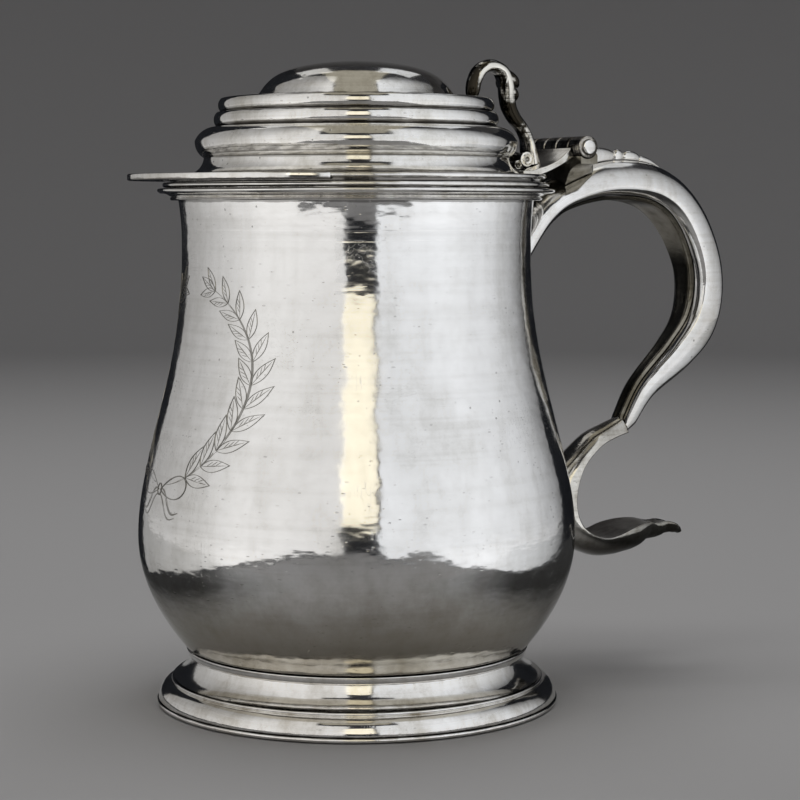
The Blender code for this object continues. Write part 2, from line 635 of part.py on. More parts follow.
def make_handle(vessel, bead_low):
    """Hollow upper scroll (rounded back and flat strap), lower scroll, tail and drop."""
    upper = frames(smooth_line(upper_line()))
    meeting = (CORNER_OUT, CORNER_RISE) + HANDLE_STATIONS[-1][2:]
    lower = frames(smooth_line(belly_line([meeting] + SCROLL_STATIONS + TAIL_STATIONS)))
    mitre(upper, lower)

    shells, straps = [], []
    for frame in upper:
        depth, width = frame[2], frame[3]
        strap, half, flank, back = handle_section(width, depth)
        floor = HANDLE_STRAP + SOLDER_GAP
        slope = (half - strap) / flank
        lip = strap + slope * floor
        hollow = [(u * (1 - HANDLE_WALL / half), flank + (v - flank) * (1 - HANDLE_WALL / (depth - flank)))
                  for u, v in back]
        ring = [(lip, floor)] + back + [(-lip, floor), (-(lip - HANDLE_WALL), floor)]
        ring += list(reversed(hollow)) + [(lip - HANDLE_WALL, floor)]
        shells.append(in_space(frame, ring))
        edge = strap + slope * HANDLE_STRAP
        straps.append(in_space(frame, [(-strap, 0.0), (strap, 0.0), (edge, HANDLE_STRAP),
                                       (-edge, HANDLE_STRAP)]))
    handle_back = place("handle_back", lofted(shells), vessel, tone=0.93)
    handle_face = place("handle_face", lofted(straps), vessel, tone=0.9)

    split = len(SCROLL_STATIONS) * SWEEP_STEPS
    solid = [in_space(frame, scroll_section(frame[3], frame[2])) for frame in lower]
    lower_scroll = place("lower_scroll", lofted(solid[:split + 1]), vessel, tone=0.93)
    gap = (lower[split + 1][0] - lower[split][0]).normalized() * SOLDER_GAP
    joint = [point + Vector((gap[0], 0.0, gap[1])) for point in solid[split]]
    place("handle_terminal", lofted([joint] + solid[split + 1:]), vessel, tone=0.9)

    wall = [(body_radius(z) + SOLDER_GAP, z) for z in spaced(bead_low - SOLDER_GAP, BELLY_HEIGHT, 12)]
    wall += [(body_radius(z) + SOLDER_GAP, z) for z in spaced(BELLY_HEIGHT, BASE_HEIGHT, 5)[1:]]
    edge = RIM_RADIUS + SOLDER_GAP
    top = LID_BASE + LID_WIRE_HEIGHT
    cutter = [(0.0, top), (edge, top), (edge, bead_low - SOLDER_GAP)] + wall + [(0.0, BASE_HEIGHT)]
    for piece in (handle_back, handle_face, lower_scroll):
        cut_clear(piece, cutter, vessel)
    return [(f[0][0] + f[1][0] * f[2], f[0][1] + f[1][1] * f[2]) for f in upper], upper


def make_drop(vessel, upper):
    """Graduated beads along the handle's back, from the hinge leaf outwards."""
    backs = [(f[0] + f[1] * f[2], f[1], f[3], f[2]) for f in upper]
    start = HINGE.x + LEAF_BACK + SOLDER_GAP
    path = []
    travelled = 0.0
    lengths = [2 * bead for bead in DROP_BEADS]
    for (p, n, w, d), (q, m, x, e) in zip(backs, backs[1:]):
        if q[0] <= start:
            continue
        begin = max(0.0, (start - p[0]) / (q[0] - p[0])) if q[0] > p[0] else 0.0
        for k in range(8):
            f = begin + (1 - begin) * k / 8
            path.append((p.lerp(q, f), n.lerp(m, f).normalized(), w + (x - w) * f, d + (e - d) * f))
    rings = []
    here = path[0][0]
    total = sum(lengths)
    for point, out, width, depth in path:
        travelled += (point - here).length
        here = point
        if travelled > total:
            break
        done = 0.0
        for bead, length in zip(DROP_BEADS, lengths):
            if travelled <= done + length:
                share = (travelled - done) / length
                swell = DROP_WAIST + (1 - DROP_WAIST) * math.sin(math.pi * share)
                size = bead * swell
                break
            done += length
        flank = depth * FLANK_SHARE
        ring = []
        for u in spaced(-size, size, 4):
            rise = flank + (depth - flank) * math.sqrt(1 - (2 * u / width) ** 2) - depth + SOLDER_GAP
            ring.append((u, rise))
        for a in spaced(0.0, math.pi, 6)[1:-1]:
            ring.append((size * math.cos(a), SOLDER_GAP + size * DROP_HEIGHT_SHARE * math.sin(a)))
        rings.append(in_space([point, out], ring))
    place("handle_drop", lofted(rings), vessel, tone=0.9)


def make_thumbpiece(cover, plate_outline):
    """Open cast scroll that rises from the lid's leaf and bends over the lid."""
    x = HINGE.x - THUMB_FOOT_IN
    seat = [(at, upper_height(plate_outline, at) + SOLDER_GAP)
            for at in spaced(x - THUMB_FOOT / 2, x + THUMB_FOOT / 2, 4)]
    foot = seat[-1][1] + THUMB_FOOT_HEIGHT
    line = [(x, foot)] + [(x + dx, foot + dz) for dx, dz in THUMB_LINE]
    curve = [Vector(point) for point in smooth_line(line, SWEEP_STEPS + 1)]
    left, right = [], []
    spur_at = (THUMB_SPUR_STATION + 1) * (SWEEP_STEPS + 1)
    for i, point in enumerate(curve):
        ahead = curve[min(i + 1, len(curve) - 1)]
        behind = curve[max(i - 1, 0)]
        run = (ahead - behind).normalized()
        side = Vector((run[1], -run[0])) * THUMB_THICKNESS / 2
        spur = THUMB_SPUR if i == spur_at else 0.0
        right.append(point + side + side.normalized() * spur)
        left.append(point - side)
    outline = [(p[0], p[1]) for p in right + list(reversed(left))] + seat
    place("thumbpiece", plate(outline, [THUMB_WIDTH / 2] * len(outline)), cover, tone=0.9)


def main():
    for old in list(bpy.data.objects):
        bpy.data.objects.remove(old, do_unlink=True)
    reach = max(f[0][0] + f[1][0] * f[2] for f in frames(smooth_line(upper_line())))
    centre = (reach - LIP_REACH) / 2
    tankard = empty("tankard", (0.0, 0.0, 0.0))
    tankard.location.x = -centre
    cover = empty("lid_hinge_axis", HINGE, tankard)
    make_body(tankard)
    bead_low = make_rim(tankard)
    make_foot(tankard)
    make_lid(cover)
    make_lip(cover)
    make_hinge(tankard, cover)
    plate_outline = make_lid_plate(cover)
    back, upper = make_handle(tankard, bead_low)
    make_leaf(tankard, back)
    make_drop(tankard, upper)
    make_thumbpiece(cover, plate_outline)
    bpy.context.view_layer.update()
    print("vessel axis at x", round(-centre / MM, 3), "mm, hinge", [round(v / MM, 3) for v in HINGE])


main()
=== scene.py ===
import math

import bmesh
import bpy
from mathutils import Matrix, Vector


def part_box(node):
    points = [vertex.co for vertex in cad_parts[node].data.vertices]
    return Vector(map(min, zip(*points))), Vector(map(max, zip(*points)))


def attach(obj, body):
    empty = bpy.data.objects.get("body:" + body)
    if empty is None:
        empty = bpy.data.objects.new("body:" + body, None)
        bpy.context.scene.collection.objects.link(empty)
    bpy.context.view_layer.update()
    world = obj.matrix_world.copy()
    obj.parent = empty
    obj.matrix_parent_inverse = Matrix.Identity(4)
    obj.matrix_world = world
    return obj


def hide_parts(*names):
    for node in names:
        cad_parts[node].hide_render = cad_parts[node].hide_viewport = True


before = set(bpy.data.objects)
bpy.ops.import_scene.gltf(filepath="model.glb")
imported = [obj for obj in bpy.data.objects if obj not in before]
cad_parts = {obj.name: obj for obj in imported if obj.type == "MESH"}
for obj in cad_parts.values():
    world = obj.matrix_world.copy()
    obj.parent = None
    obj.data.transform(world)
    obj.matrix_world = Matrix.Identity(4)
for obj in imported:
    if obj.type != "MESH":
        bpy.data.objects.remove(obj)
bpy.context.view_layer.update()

scene = bpy.context.scene
mm = 0.001
solderGap = 0.3  # mm left between pieces where the real ones are soldered
bodyLow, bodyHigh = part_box("body")
axisX = (bodyLow.x + bodyHigh.x) / 2  # the vessel's own upright axis
axis = Vector((axisX, 0.0, 0.0))
upright = Vector((0.0, 0.0, 1.0))
towardHandle = Vector((1.0, 0.0, 0.0))
across = Vector((0.0, 1.0, 0.0))


def deselectAll():
    if bpy.context.mode != "OBJECT":
        bpy.ops.object.mode_set(mode="OBJECT")
    bpy.ops.object.select_all(action="DESELECT")


def makeActive(piece):
    deselectAll()
    bpy.context.view_layer.objects.active = piece
    piece.select_set(True)


def editAll(piece):
    makeActive(piece)
    bpy.ops.object.mode_set(mode="EDIT")
    bpy.ops.mesh.select_mode(type="VERT")
    bpy.ops.mesh.select_all(action="SELECT")


def nameIt(name):
    piece = bpy.context.object
    piece.name = name
    piece.data.name = name
    return piece


def closeUp(piece, gap=1e-6):
    # merge doubles first, then turn the faces out
    editAll(piece)
    bpy.ops.mesh.remove_doubles(threshold=gap)
    bpy.ops.mesh.select_all(action="SELECT")
    bpy.ops.mesh.normals_make_consistent(inside=False)
    bpy.ops.object.mode_set(mode="OBJECT")


def turnProfile(name, profile, centre=axis, outward=towardHandle, along=upright, steps=144, closed=True):
    # profile: (radius, distance along the axis) in mm; one vertex is extruded along it, then spun
    points = [centre + outward * (r * mm) + along * (h * mm) for r, h in profile]
    if closed:
        points.append(points[0])
    deselectAll()
    bpy.ops.mesh.primitive_plane_add(size=mm, location=(0, 0, 0))
    piece = nameIt(name)
    editAll(piece)
    bpy.ops.mesh.merge(type="CENTER")
    bpy.ops.transform.translate(value=points[0])
    for here, there in zip(points, points[1:]):
        bpy.ops.mesh.extrude_region_move(TRANSFORM_OT_translate={"value": there - here})
    bpy.ops.mesh.select_all(action="SELECT")
    bpy.ops.mesh.spin(steps=steps, angle=2 * math.pi, center=centre, axis=along)
    closeUp(piece)
    return piece


def layRing(piece, before, after):
    # each selected corner still lies on the ring before it and goes to its new place
    shape = bmesh.from_edit_mesh(piece.data)
    for corner in shape.verts:
        if corner.select:
            nearest = min(range(len(before)), key=lambda i: (before[i] - corner.co).length_squared)
            corner.co = after[nearest]
    shape.normal_update()  # an inset that follows needs the new normals
    bmesh.update_edit_mesh(piece.data)


def startRing(name, corners):
    # a filled circle that takes the shape of the corners and stays in edit mode
    deselectAll()
    bpy.ops.mesh.primitive_circle_add(vertices=len(corners), radius=1.0, fill_type="NGON", location=(0, 0, 0))
    piece = nameIt(name)
    circle = [v.co.copy() for v in piece.data.vertices]
    editAll(piece)
    layRing(piece, circle, corners)
    return piece


def sweepRings(name, rings):
    # the first section is extruded from section to section
    piece = startRing(name, rings[0])
    for before, after in zip(rings, rings[1:]):
        bpy.ops.mesh.extrude_region_move(TRANSFORM_OT_translate={"value": (0, 0, 0)})
        layRing(piece, before, after)
    closeUp(piece)
    return piece


def bevelSharp(piece, width, segments=3, angle=30):
    editAll(piece)
    bpy.ops.mesh.select_all(action="DESELECT")
    bpy.ops.mesh.select_mode(type="EDGE")
    bpy.ops.mesh.edges_select_sharp(sharpness=math.radians(angle))
    bpy.ops.mesh.bevel(offset=width * mm, segments=segments, affect="EDGES", clamp_overlap=True)
    bpy.ops.object.mode_set(mode="OBJECT")


def cutAway(piece, cutter):
    makeActive(piece)
    cut = piece.modifiers.new("seat", "BOOLEAN")
    cut.operation = "DIFFERENCE"
    cut.solver = "EXACT"
    cut.object = cutter
    bpy.ops.object.modifier_apply(modifier=cut.name)
    closeUp(piece)


def joinPieces(name, pieces):
    makeActive(pieces[0])
    for other in pieces[1:]:
        other.select_set(True)
    bpy.ops.object.join()
    return nameIt(name)


def dress(piece, body, material, nodes, smoothAngle=35):
    makeActive(piece)
    bpy.ops.object.shade_smooth_by_angle(angle=math.radians(smoothAngle))
    piece.data.materials.clear()
    piece.data.materials.append(material)
    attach(piece, body)
    if nodes:
        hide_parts(*nodes)
    return piece


def spread(start, end, count):
    return [start + (end - start) * i / count for i in range(count + 1)]


def roundAngles(count):
    # a full turn without its repeated end
    return spread(0.0, 2 * math.pi, count)[:-1]


def bowedLine(points, steps=8):
    # (radius, height, bow): bow is the rise of the arc to the next point, positive to the right of travel
    line = []
    for (r, h, bow), (rEnd, hEnd, _) in zip(points, points[1:]):
        line.append((r, h))
        if not bow:
            continue
        chord = math.hypot(rEnd - r, hEnd - h)
        side = ((hEnd - h) / chord, -(rEnd - r) / chord)
        radius = (chord * chord / 4 + bow * bow) / (2 * abs(bow))
        half = math.asin(min(1.0, chord / 2 / radius))
        if abs(bow) > chord / 2:
            half = math.pi - half
        for k in range(1, steps):
            angle = half * (2 * k / steps - 1)
            share = 0.5 + radius * math.sin(angle) / chord
            lift = radius * (math.cos(angle) - math.cos(half)) * math.copysign(1, bow)
            line.append((r + (rEnd - r) * share + side[0] * lift, h + (hEnd - h) * share + side[1] * lift))
    line.append(points[-1][:2])
    return line


def smoothLine(stations, steps):
    # one smooth curve through stations of any number of values
    first = [2 * a - b for a, b in zip(stations[0], stations[1])]
    last = [2 * a - b for a, b in zip(stations[-1], stations[-2])]
    row = [first] + [list(station) for station in stations] + [last]
    line = []
    for four in zip(row, row[1:], row[2:], row[3:]):
        for k in range(steps):
            f = k / steps
            line.append([b + 0.5 * f * (c - a + f * (2 * a - 5 * b + 4 * c - d + f * (3 * (b - c) + d - a)))
                         for a, b, c, d in zip(*four)])
    line.append(list(stations[-1]))
    return line


def framesAlong(line):
    # each point of a scroll in the handle's plane, with the direction to the left of travel
    frames = []
    for i, (r, h, depth, width) in enumerate(line):
        ahead = line[min(i + 1, len(line) - 1)]
        behind = line[max(i - 1, 0)]
        run = Vector((ahead[0] - behind[0], ahead[1] - behind[1])).normalized()
        frames.append([Vector((r, h)), Vector((-run[1], run[0])), depth, width])
    return frames


def inPlane(point, out, corners):
    # section corners (across, out) in mm, placed at a point of the handle's plane
    return [Vector((axisX + (point[0] + out[0] * v) * mm, u * mm, (point[1] + out[1] * v) * mm))
            for u, v in corners]


def setInputs(node, values):
    for label, value in values.items():
        node.inputs[label].default_value = value


def newGroup(name, inputs, outputs):
    # an input without a value is a vector, one with four values a colour, and any other a number
    group = bpy.data.node_groups.new(name, "ShaderNodeTree")
    for label, value in inputs.items():
        kind = "Vector" if value is None else "Color" if isinstance(value, tuple) else "Float"
        socket = group.interface.new_socket(name=label, in_out="INPUT", socket_type="NodeSocket" + kind)
        if value is not None:
            socket.default_value = value
    for label, kind in outputs.items():
        group.interface.new_socket(name=label, in_out="OUTPUT", socket_type="NodeSocket" + kind)
    return group, group.nodes.new("NodeGroupInput"), group.nodes.new("NodeGroupOutput")


def addNode(tree, kind, **settings):
    node = tree.nodes.new(kind)
    for key, value in settings.items():
        setattr(node, key, value)
    return node


def mathNode(tree, operation, first, second=None, clamp=False):
    node = addNode(tree, "ShaderNodeMath", operation=operation, use_clamp=clamp)
    for socket, value in zip(node.inputs, (first, second)):
        if value is None:
            continue
        if isinstance(value, (int, float)):
            socket.default_value = value
        else:
            tree.links.new(value, socket)
    return node.outputs[0]


def weightedSum(tree, parts):
    total = None
    for value, weight in parts:
        part = mathNode(tree, "MULTIPLY", value, weight)
        total = part if total is None else mathNode(tree, "ADD", total, part)
    return total


def stretched(tree, vector, stretch, turn=(0, 0, 0)):
    mapping = addNode(tree, "ShaderNodeMapping")
    setInputs(mapping, {"Scale": stretch, "Rotation": turn})
    tree.links.new(vector, mapping.inputs["Vector"])
    return mapping.outputs["Vector"]


def scaledPlace(group, start):
    # the group's own place times its size
    scaled = addNode(group, "ShaderNodeVectorMath", operation="SCALE")
    group.links.new(start.outputs["Vector"], scaled.inputs[0])
    group.links.new(start.outputs["Size"], scaled.inputs["Scale"])
    return scaled.outputs[0]


def noiseNode(tree, vector, scale, detail=2.0, roughness=0.5, stretch=None, turn=(0, 0, 0)):
    if stretch:
        vector = stretched(tree, vector, stretch, turn)
    node = addNode(tree, "ShaderNodeTexNoise")
    setInputs(node, {"Scale": scale, "Detail": detail, "Roughness": roughness})
    tree.links.new(vector, node.inputs["Vector"])
    return node.outputs["Fac"]


def cellNode(tree, vector, scale, **settings):
    node = addNode(tree, "ShaderNodeTexVoronoi", **settings)
    node.inputs["Scale"].default_value = scale
    tree.links.new(vector, node.inputs["Vector"])
    return node


def cellChoice(tree, cells):
    # random values of each cell, by the names Red, Green and Blue
    split = addNode(tree, "ShaderNodeSeparateColor")
    tree.links.new(cells.outputs["Color"], split.inputs["Color"])
    return split.outputs


def rangeNode(tree, value, low, high, to=(0.0, 1.0)):
    node = addNode(tree, "ShaderNodeMapRange", interpolation_type="SMOOTHSTEP")
    tree.links.new(value, node.inputs["Value"])
    setInputs(node, {"From Min": low, "From Max": high, "To Min": to[0], "To Max": to[1]})
    return node.outputs["Result"]


def mixColour(tree, factor, first, second):
    node = addNode(tree, "ShaderNodeMix", data_type="RGBA")
    for socket, value in ((node.inputs[0], factor), (node.inputs[6], first), (node.inputs[7], second)):
        if isinstance(value, (float, tuple)):
            socket.default_value = value
        else:
            tree.links.new(value, socket)
    return node.outputs[2]


def splitPlace(tree, place):
    split = addNode(tree, "ShaderNodeSeparateXYZ")
    tree.links.new(place, split.inputs[0])
    return split.outputs


planishing = {
    "levelStretch": (1.7, 1.7, 3.6), "fineScale": 6.5, "facetScale": 2.3, "facetSmooth": 0.35,
    "broadShare": 0.62, "levelShare": 0.36, "fineShare": 0.022, "facetShare": 0.13,
}


def buildPlanished():
    # slow waves that hand hammering leaves in raised sheet
    group, start, end = newGroup("planishedSheet", {"Vector": None, "Size": 60.0}, {"Height": "Float"})
    place = scaledPlace(group, start)
    broad = noiseNode(group, place, 1.0, 1.0, 0.4)
    level = noiseNode(group, place, 1.0, 2.0, 0.5, planishing["levelStretch"])
    fine = noiseNode(group, place, planishing["fineScale"], 2.0, 0.5)
    facets = cellNode(group, place, planishing["facetScale"], feature="SMOOTH_F1")
    facets.inputs["Smoothness"].default_value = planishing["facetSmooth"]
    hollow = mathNode(group, "POWER", facets.outputs["Distance"], 2.0)
    total = weightedSum(group, [(broad, planishing["broadShare"]), (level, planishing["levelShare"]),
                                (fine, planishing["fineShare"]), (hollow, planishing["facetShare"])])
    group.links.new(total, end.inputs["Height"])
    return group


wear = {
    # each set of scratches: stretch and turn of its grain, scale of the patches where it shows
    "scratchSets": [((9, 700, 700), (0.2, 0.5, 0.3), 37.0), ((800, 10, 800), (0.7, 0.2, 0.9), 53.0),
                    ((750, 750, 8), (0.3, 0.15, 0.0), 45.0)],
    "scratchEdge": (0.006, 0.001), "scratchPatch": (0.64, 0.68),
    "scratchRough": 0.12, "scratchDepth": -0.35, "scratchDark": 0.35,
    # pits lie in swarms, one in some cells
    "pitScale": 420.0, "pitEdge": (0.2, 0.08), "pitChosen": (0.86, 0.88), "swarmScale": 21.0,
    "swarmEdge": (0.56, 0.66), "pitDepth": -1.0, "pitDark": 0.7,
    # specks are finer, flatter and of mixed size
    "speckStretch": (520.0, 520.0, 1300.0), "speckVaries": 2.2, "speckLeast": 0.55, "speckEdge": (0.3, 0.12),
    "speckChosen": (0.72, 0.8), "speckStrength": (0.0, 0.6),
    "speckPatchScale": 46.0, "speckPatch": (0.36, 0.62),
    # polishing grain and cloudy haze in the gloss
    "grainStretch": (90, 90, 1600), "grainEdge": (0.3, 0.7), "grainHaze": (-0.012, 0.02), "grainDepth": 0.05,
    "cloudScale": 32.0, "cloudEdge": (0.35, 0.7), "cloudHaze": (-0.01, 0.035),
}


def scratchMask(group, vector):
    lines = None
    for stretch, turn, patchScale in wear["scratchSets"]:
        grain = noiseNode(group, vector, 1.0, 1.0, 0.5, stretch, turn)
        offset = mathNode(group, "ABSOLUTE", mathNode(group, "SUBTRACT", grain, 0.5))
        thin = rangeNode(group, offset, *wear["scratchEdge"])
        patch = rangeNode(group, noiseNode(group, vector, patchScale), *wear["scratchPatch"])
        line = mathNode(group, "MULTIPLY", thin, patch)
        lines = line if lines is None else mathNode(group, "MAXIMUM", lines, line)
    return lines


def pitMask(group, vector, extraSwarm):
    cells = cellNode(group, vector, wear["pitScale"])
    dots = rangeNode(group, cells.outputs["Distance"], *wear["pitEdge"])
    few = rangeNode(group, cellChoice(group, cells)["Red"], *wear["pitChosen"])
    swarm = mathNode(group, "ADD", noiseNode(group, vector, wear["swarmScale"]), extraSwarm)
    few = mathNode(group, "MULTIPLY", few, rangeNode(group, swarm, *wear["swarmEdge"]))
    return mathNode(group, "MULTIPLY", dots, few)


def speckMask(group, vector):
    cells = cellNode(group, stretched(group, vector, wear["speckStretch"]), 1.0)
    choice = cellChoice(group, cells)
    varied = mathNode(group, "MULTIPLY", choice["Blue"], wear["speckVaries"])
    sized = mathNode(group, "MULTIPLY", cells.outputs["Distance"],
                     mathNode(group, "ADD", varied, wear["speckLeast"]))
    patch = rangeNode(group, noiseNode(group, vector, wear["speckPatchScale"], 3.0, 0.6), *wear["speckPatch"])
    specks = mathNode(group, "MULTIPLY", rangeNode(group, sized, *wear["speckEdge"]), patch)
    chosen = rangeNode(group, choice["Green"], *wear["speckChosen"], wear["speckStrength"])
    return mathNode(group, "MULTIPLY", specks, chosen)


def buildWearMarks():
    # short scratches, small pits and the polishing grain
    group, start, end = newGroup("wearMarks", {"Vector": None, "Scratches": 1.0, "Pits": 1.0, "Swarm": 0.0,
                                               "Gloss": 0.1},
                                 {"Roughness": "Float", "Height": "Float", "Marks": "Float"})
    vector = start.outputs["Vector"]
    lines = mathNode(group, "MULTIPLY", scratchMask(group, vector), start.outputs["Scratches"])
    bigPits = pitMask(group, vector, start.outputs["Swarm"])
    pits = mathNode(group, "MAXIMUM", bigPits, speckMask(group, vector))
    pits = mathNode(group, "MULTIPLY", pits, start.outputs["Pits"])
    polish = noiseNode(group, vector, 1.0, 3.0, 0.6, wear["grainStretch"])
    cloud = noiseNode(group, vector, wear["cloudScale"], 3.0, 0.55)
    haze = mathNode(group, "ADD", rangeNode(group, polish, *wear["grainEdge"], wear["grainHaze"]),
                    rangeNode(group, cloud, *wear["cloudEdge"], wear["cloudHaze"]))
    rough = mathNode(group, "ADD", start.outputs["Gloss"], haze)
    rough = mathNode(group, "ADD", rough, mathNode(group, "MULTIPLY", lines, wear["scratchRough"]))
    group.links.new(rough, end.inputs["Roughness"])
    dents = weightedSum(group, [(lines, wear["scratchDepth"]), (pits, wear["pitDepth"]),
                                (polish, wear["grainDepth"])])
    group.links.new(dents, end.inputs["Height"])
    dark = mathNode(group, "MAXIMUM", mathNode(group, "MULTIPLY", pits, wear["pitDark"]),
                    mathNode(group, "MULTIPLY", lines, wear["scratchDark"]))
    group.links.new(dark, end.inputs["Marks"])
    return group


tarnish = {
    # noise scale, detail, roughness, stretch; the range that shows; how strong it may be
    "layers": {
        "cloud": ((30.0, 6.0, 0.62, None), (0.4, 0.72), (0.0, 1.0)),
        "grain": ((210.0, 4.0, 0.7, None), (0.42, 0.75), (0.0, 0.45)),
        "streak": ((1.0, 4.0, 0.65, (85, 85, 7)), (0.42, 0.72), (0.0, 0.7)),
        "band": ((1.0, 3.0, 0.6, (9, 9, 420)), (0.42, 0.72), (0.0, 0.4)),
    },
    "markStrength": 0.85, "markColour": (0.06, 0.05, 0.04, 1),
    "bandScale": 130.0, "bandEdge": (0.25, 0.75), "bandStray": (-0.45, 0.45),
    "bandWidth": 0.8, "bandFade": 0.35,
}


def buildTarnish():
    # cloudy warm film over clean silver, dark in the marks
    group, start, end = newGroup("tarnishFilm", {
        "Vector": None, "Marks": 0.0, "Clean": (0.93, 0.92, 0.9, 1), "Film": (0.72, 0.68, 0.6, 1),
        "Amount": 0.4, "Size": 1.0}, {"Color": "Color"})
    vector = scaledPlace(group, start)
    layers = {name: rangeNode(group, noiseNode(group, vector, *noise), *edge, strength)
              for name, (noise, edge, strength) in tarnish["layers"].items()}
    total = mathNode(group, "ADD", mathNode(group, "ADD", layers["cloud"], layers["grain"]),
                     mathNode(group, "ADD", layers["streak"], layers["band"]))
    film = mathNode(group, "MULTIPLY", total, start.outputs["Amount"], clamp=True)
    colour = mixColour(group, film, start.outputs["Clean"], start.outputs["Film"])
    marks = mathNode(group, "MULTIPLY", start.outputs["Marks"], tarnish["markStrength"])
    group.links.new(mixColour(group, marks, colour, tarnish["markColour"]), end.inputs["Color"])
    return group


def buildTarnishAndShadeBand():
    # dark band at one height: the film that polishing leaves in a joint, and painted shade on the underside
    # of the lower scroll's tail
    group, start, end = newGroup(
        "tarnishAndShadeBand", {"Vector": None, "Height": 0.0, "Width": 0.001, "Strength": 1.0, "Ragged": 1.0},
        {"Mask": "Float"})
    place = start.outputs["Vector"]
    apart = mathNode(group, "SUBTRACT", splitPlace(group, place)["Z"], start.outputs["Height"])
    share = mathNode(group, "DIVIDE", mathNode(group, "ABSOLUTE", apart), start.outputs["Width"])
    stray = rangeNode(group, noiseNode(group, place, tarnish["bandScale"], 4.0, 0.65),
                      *tarnish["bandEdge"], tarnish["bandStray"])
    stray = mathNode(group, "MULTIPLY", stray, start.outputs["Ragged"])
    width = mathNode(group, "ADD", stray, tarnish["bandWidth"])
    mask = rangeNode(group, mathNode(group, "DIVIDE", share, width), 1.0, tarnish["bandFade"])
    group.links.new(mathNode(group, "MULTIPLY", mask, start.outputs["Strength"]), end.inputs["Mask"])
    return group


planished = buildPlanished()
tarnishAndShadeBand = buildTarnishAndShadeBand()
wearMarks = buildWearMarks()
tarnishFilm = buildTarnish()


def bandMask(tree, place, height, width, strength, ragged):
    darkBand = addNode(tree, "ShaderNodeGroup", node_tree=tarnishAndShadeBand)
    tree.links.new(place, darkBand.inputs["Vector"])
    setInputs(darkBand, {"Height": height * mm, "Width": width * mm, "Strength": strength, "Ragged": ragged})
    return darkBand.outputs["Mask"]


def bumpNode(tree, height, depth):
    bump = addNode(tree, "ShaderNodeBump")
    setInputs(bump, {"Strength": 1.0, "Distance": depth * mm})
    tree.links.new(height, bump.inputs["Height"])
    return bump


def makeSilver(name, look):
    material = bpy.data.materials.new(name)
    material.use_nodes = True
    tree = material.node_tree
    shader = tree.nodes["Principled BSDF"]
    shader.inputs["Metallic"].default_value = 1.0
    place = addNode(tree, "ShaderNodeTexCoord").outputs["Object"]
    marks = addNode(tree, "ShaderNodeGroup", node_tree=wearMarks)
    film = addNode(tree, "ShaderNodeGroup", node_tree=tarnishFilm)
    waves = addNode(tree, "ShaderNodeGroup", node_tree=planished)
    for node in (marks, film, waves):
        tree.links.new(place, node.inputs["Vector"])
    setInputs(marks, {"Scratches": look["scratches"], "Pits": look["pits"], "Swarm": look.get("swarm", 0.0),
                      "Gloss": look["gloss"]})
    setInputs(film, {"Clean": (*look["clean"], 1), "Film": (*look["film"], 1), "Amount": look["amount"],
                     "Size": look.get("filmSize", 1.0)})
    waves.inputs["Size"].default_value = look["waveSize"]
    dark = marks.outputs["Marks"]
    # dark bands join the marks: joint tarnish, and painted shade where a piece lists it
    for darkBand in look.get("seamsAndShade", ()):
        dark = mathNode(tree, "MAXIMUM", dark, bandMask(tree, place, *darkBand))
    tree.links.new(dark, film.inputs["Marks"])
    colour = film.outputs["Color"]
    # brown band, darker towards the bottom: partly staining, partly painted shade
    if "stainAndShade" in look:  # brown film on a whole zone
        *zone, tint = look["stainAndShade"]
        colour = mixColour(tree, bandMask(tree, place, *zone), colour, (*tint, 1))
    if "clearAside" in look:  # the film fades out between these distances from the handle's plane, so the sides beyond stay bright
        start, end = look["clearAside"]
        aside = mathNode(tree, "ABSOLUTE", splitPlace(tree, place)["Y"])
        left = rangeNode(tree, aside, start * mm, end * mm, (1.0, 0.0))
        tree.links.new(mathNode(tree, "MULTIPLY", left, look["amount"]), film.inputs["Amount"])
    slow = bumpNode(tree, waves.outputs["Height"], look["waveDepth"])
    sharp = bumpNode(tree, marks.outputs["Height"], look["markDepth"])
    tree.links.new(slow.outputs["Normal"], sharp.inputs["Normal"])
    tree.links.new(colour, shader.inputs["Base Color"])
    tree.links.new(marks.outputs["Roughness"], shader.inputs["Roughness"])
    tree.links.new(sharp.outputs["Normal"], shader.inputs["Normal"])
    return material


# a band is its height and width in mm, its strength and how ragged it is, for joint tarnish and for painted
# shade; the brown band adds its colour, partly staining and partly painted shade
vesselSilver = makeSilver("vesselSilver", {
    "clean": (0.95, 0.945, 0.935), "film": (0.6, 0.585, 0.55), "amount": 0.42, "gloss": 0.1,
    "scratches": 0.7, "pits": 0.9, "waveSize": 54.0, "waveDepth": 0.52, "markDepth": 0.05,
    "seamsAndShade": [(17.6, 1.0, 0.8, 1.0), (159.4, 0.7, 0.7, 1.0)],
    # the lower belly's brown band is partly staining and partly painted shade
    "stainAndShade": (14.0, 50.0, 0.56, 0.25, (0.2, 0.155, 0.06))})
lidSilver = makeSilver("lidSilver", {
    "clean": (0.94, 0.93, 0.91), "film": (0.5, 0.47, 0.4), "amount": 0.42, "filmSize": 1.8, "gloss": 0.085,
    "scratches": 0.6, "pits": 0.8, "waveSize": 85.0, "waveDepth": 0.16, "markDepth": 0.04,
    "seamsAndShade": [(height, width, strength, 1.0) for height, width, strength in (
        (160.2, 0.5, 0.8), (163.4, 0.35, 0.9), (165.75, 0.9, 0.95), (168.1, 0.7, 0.8), (172.9, 0.6, 0.5),
        (182.7, 0.8, 0.9), (187.2, 0.75, 0.95), (191.9, 0.8, 0.9))]})
footSilver = makeSilver("footSilver", {
    "clean": (0.93, 0.92, 0.9), "film": (0.5, 0.46, 0.39), "amount": 0.45, "filmSize": 1.8, "gloss": 0.09,
    "scratches": 0.6, "pits": 0.8, "waveSize": 90.0, "waveDepth": 0.14, "markDepth": 0.04,
    "seamsAndShade": [(1.65, 0.6, 0.95, 1.0), (8.25, 0.35, 0.7, 1.0), (15.15, 0.4, 0.6, 1.0)]})
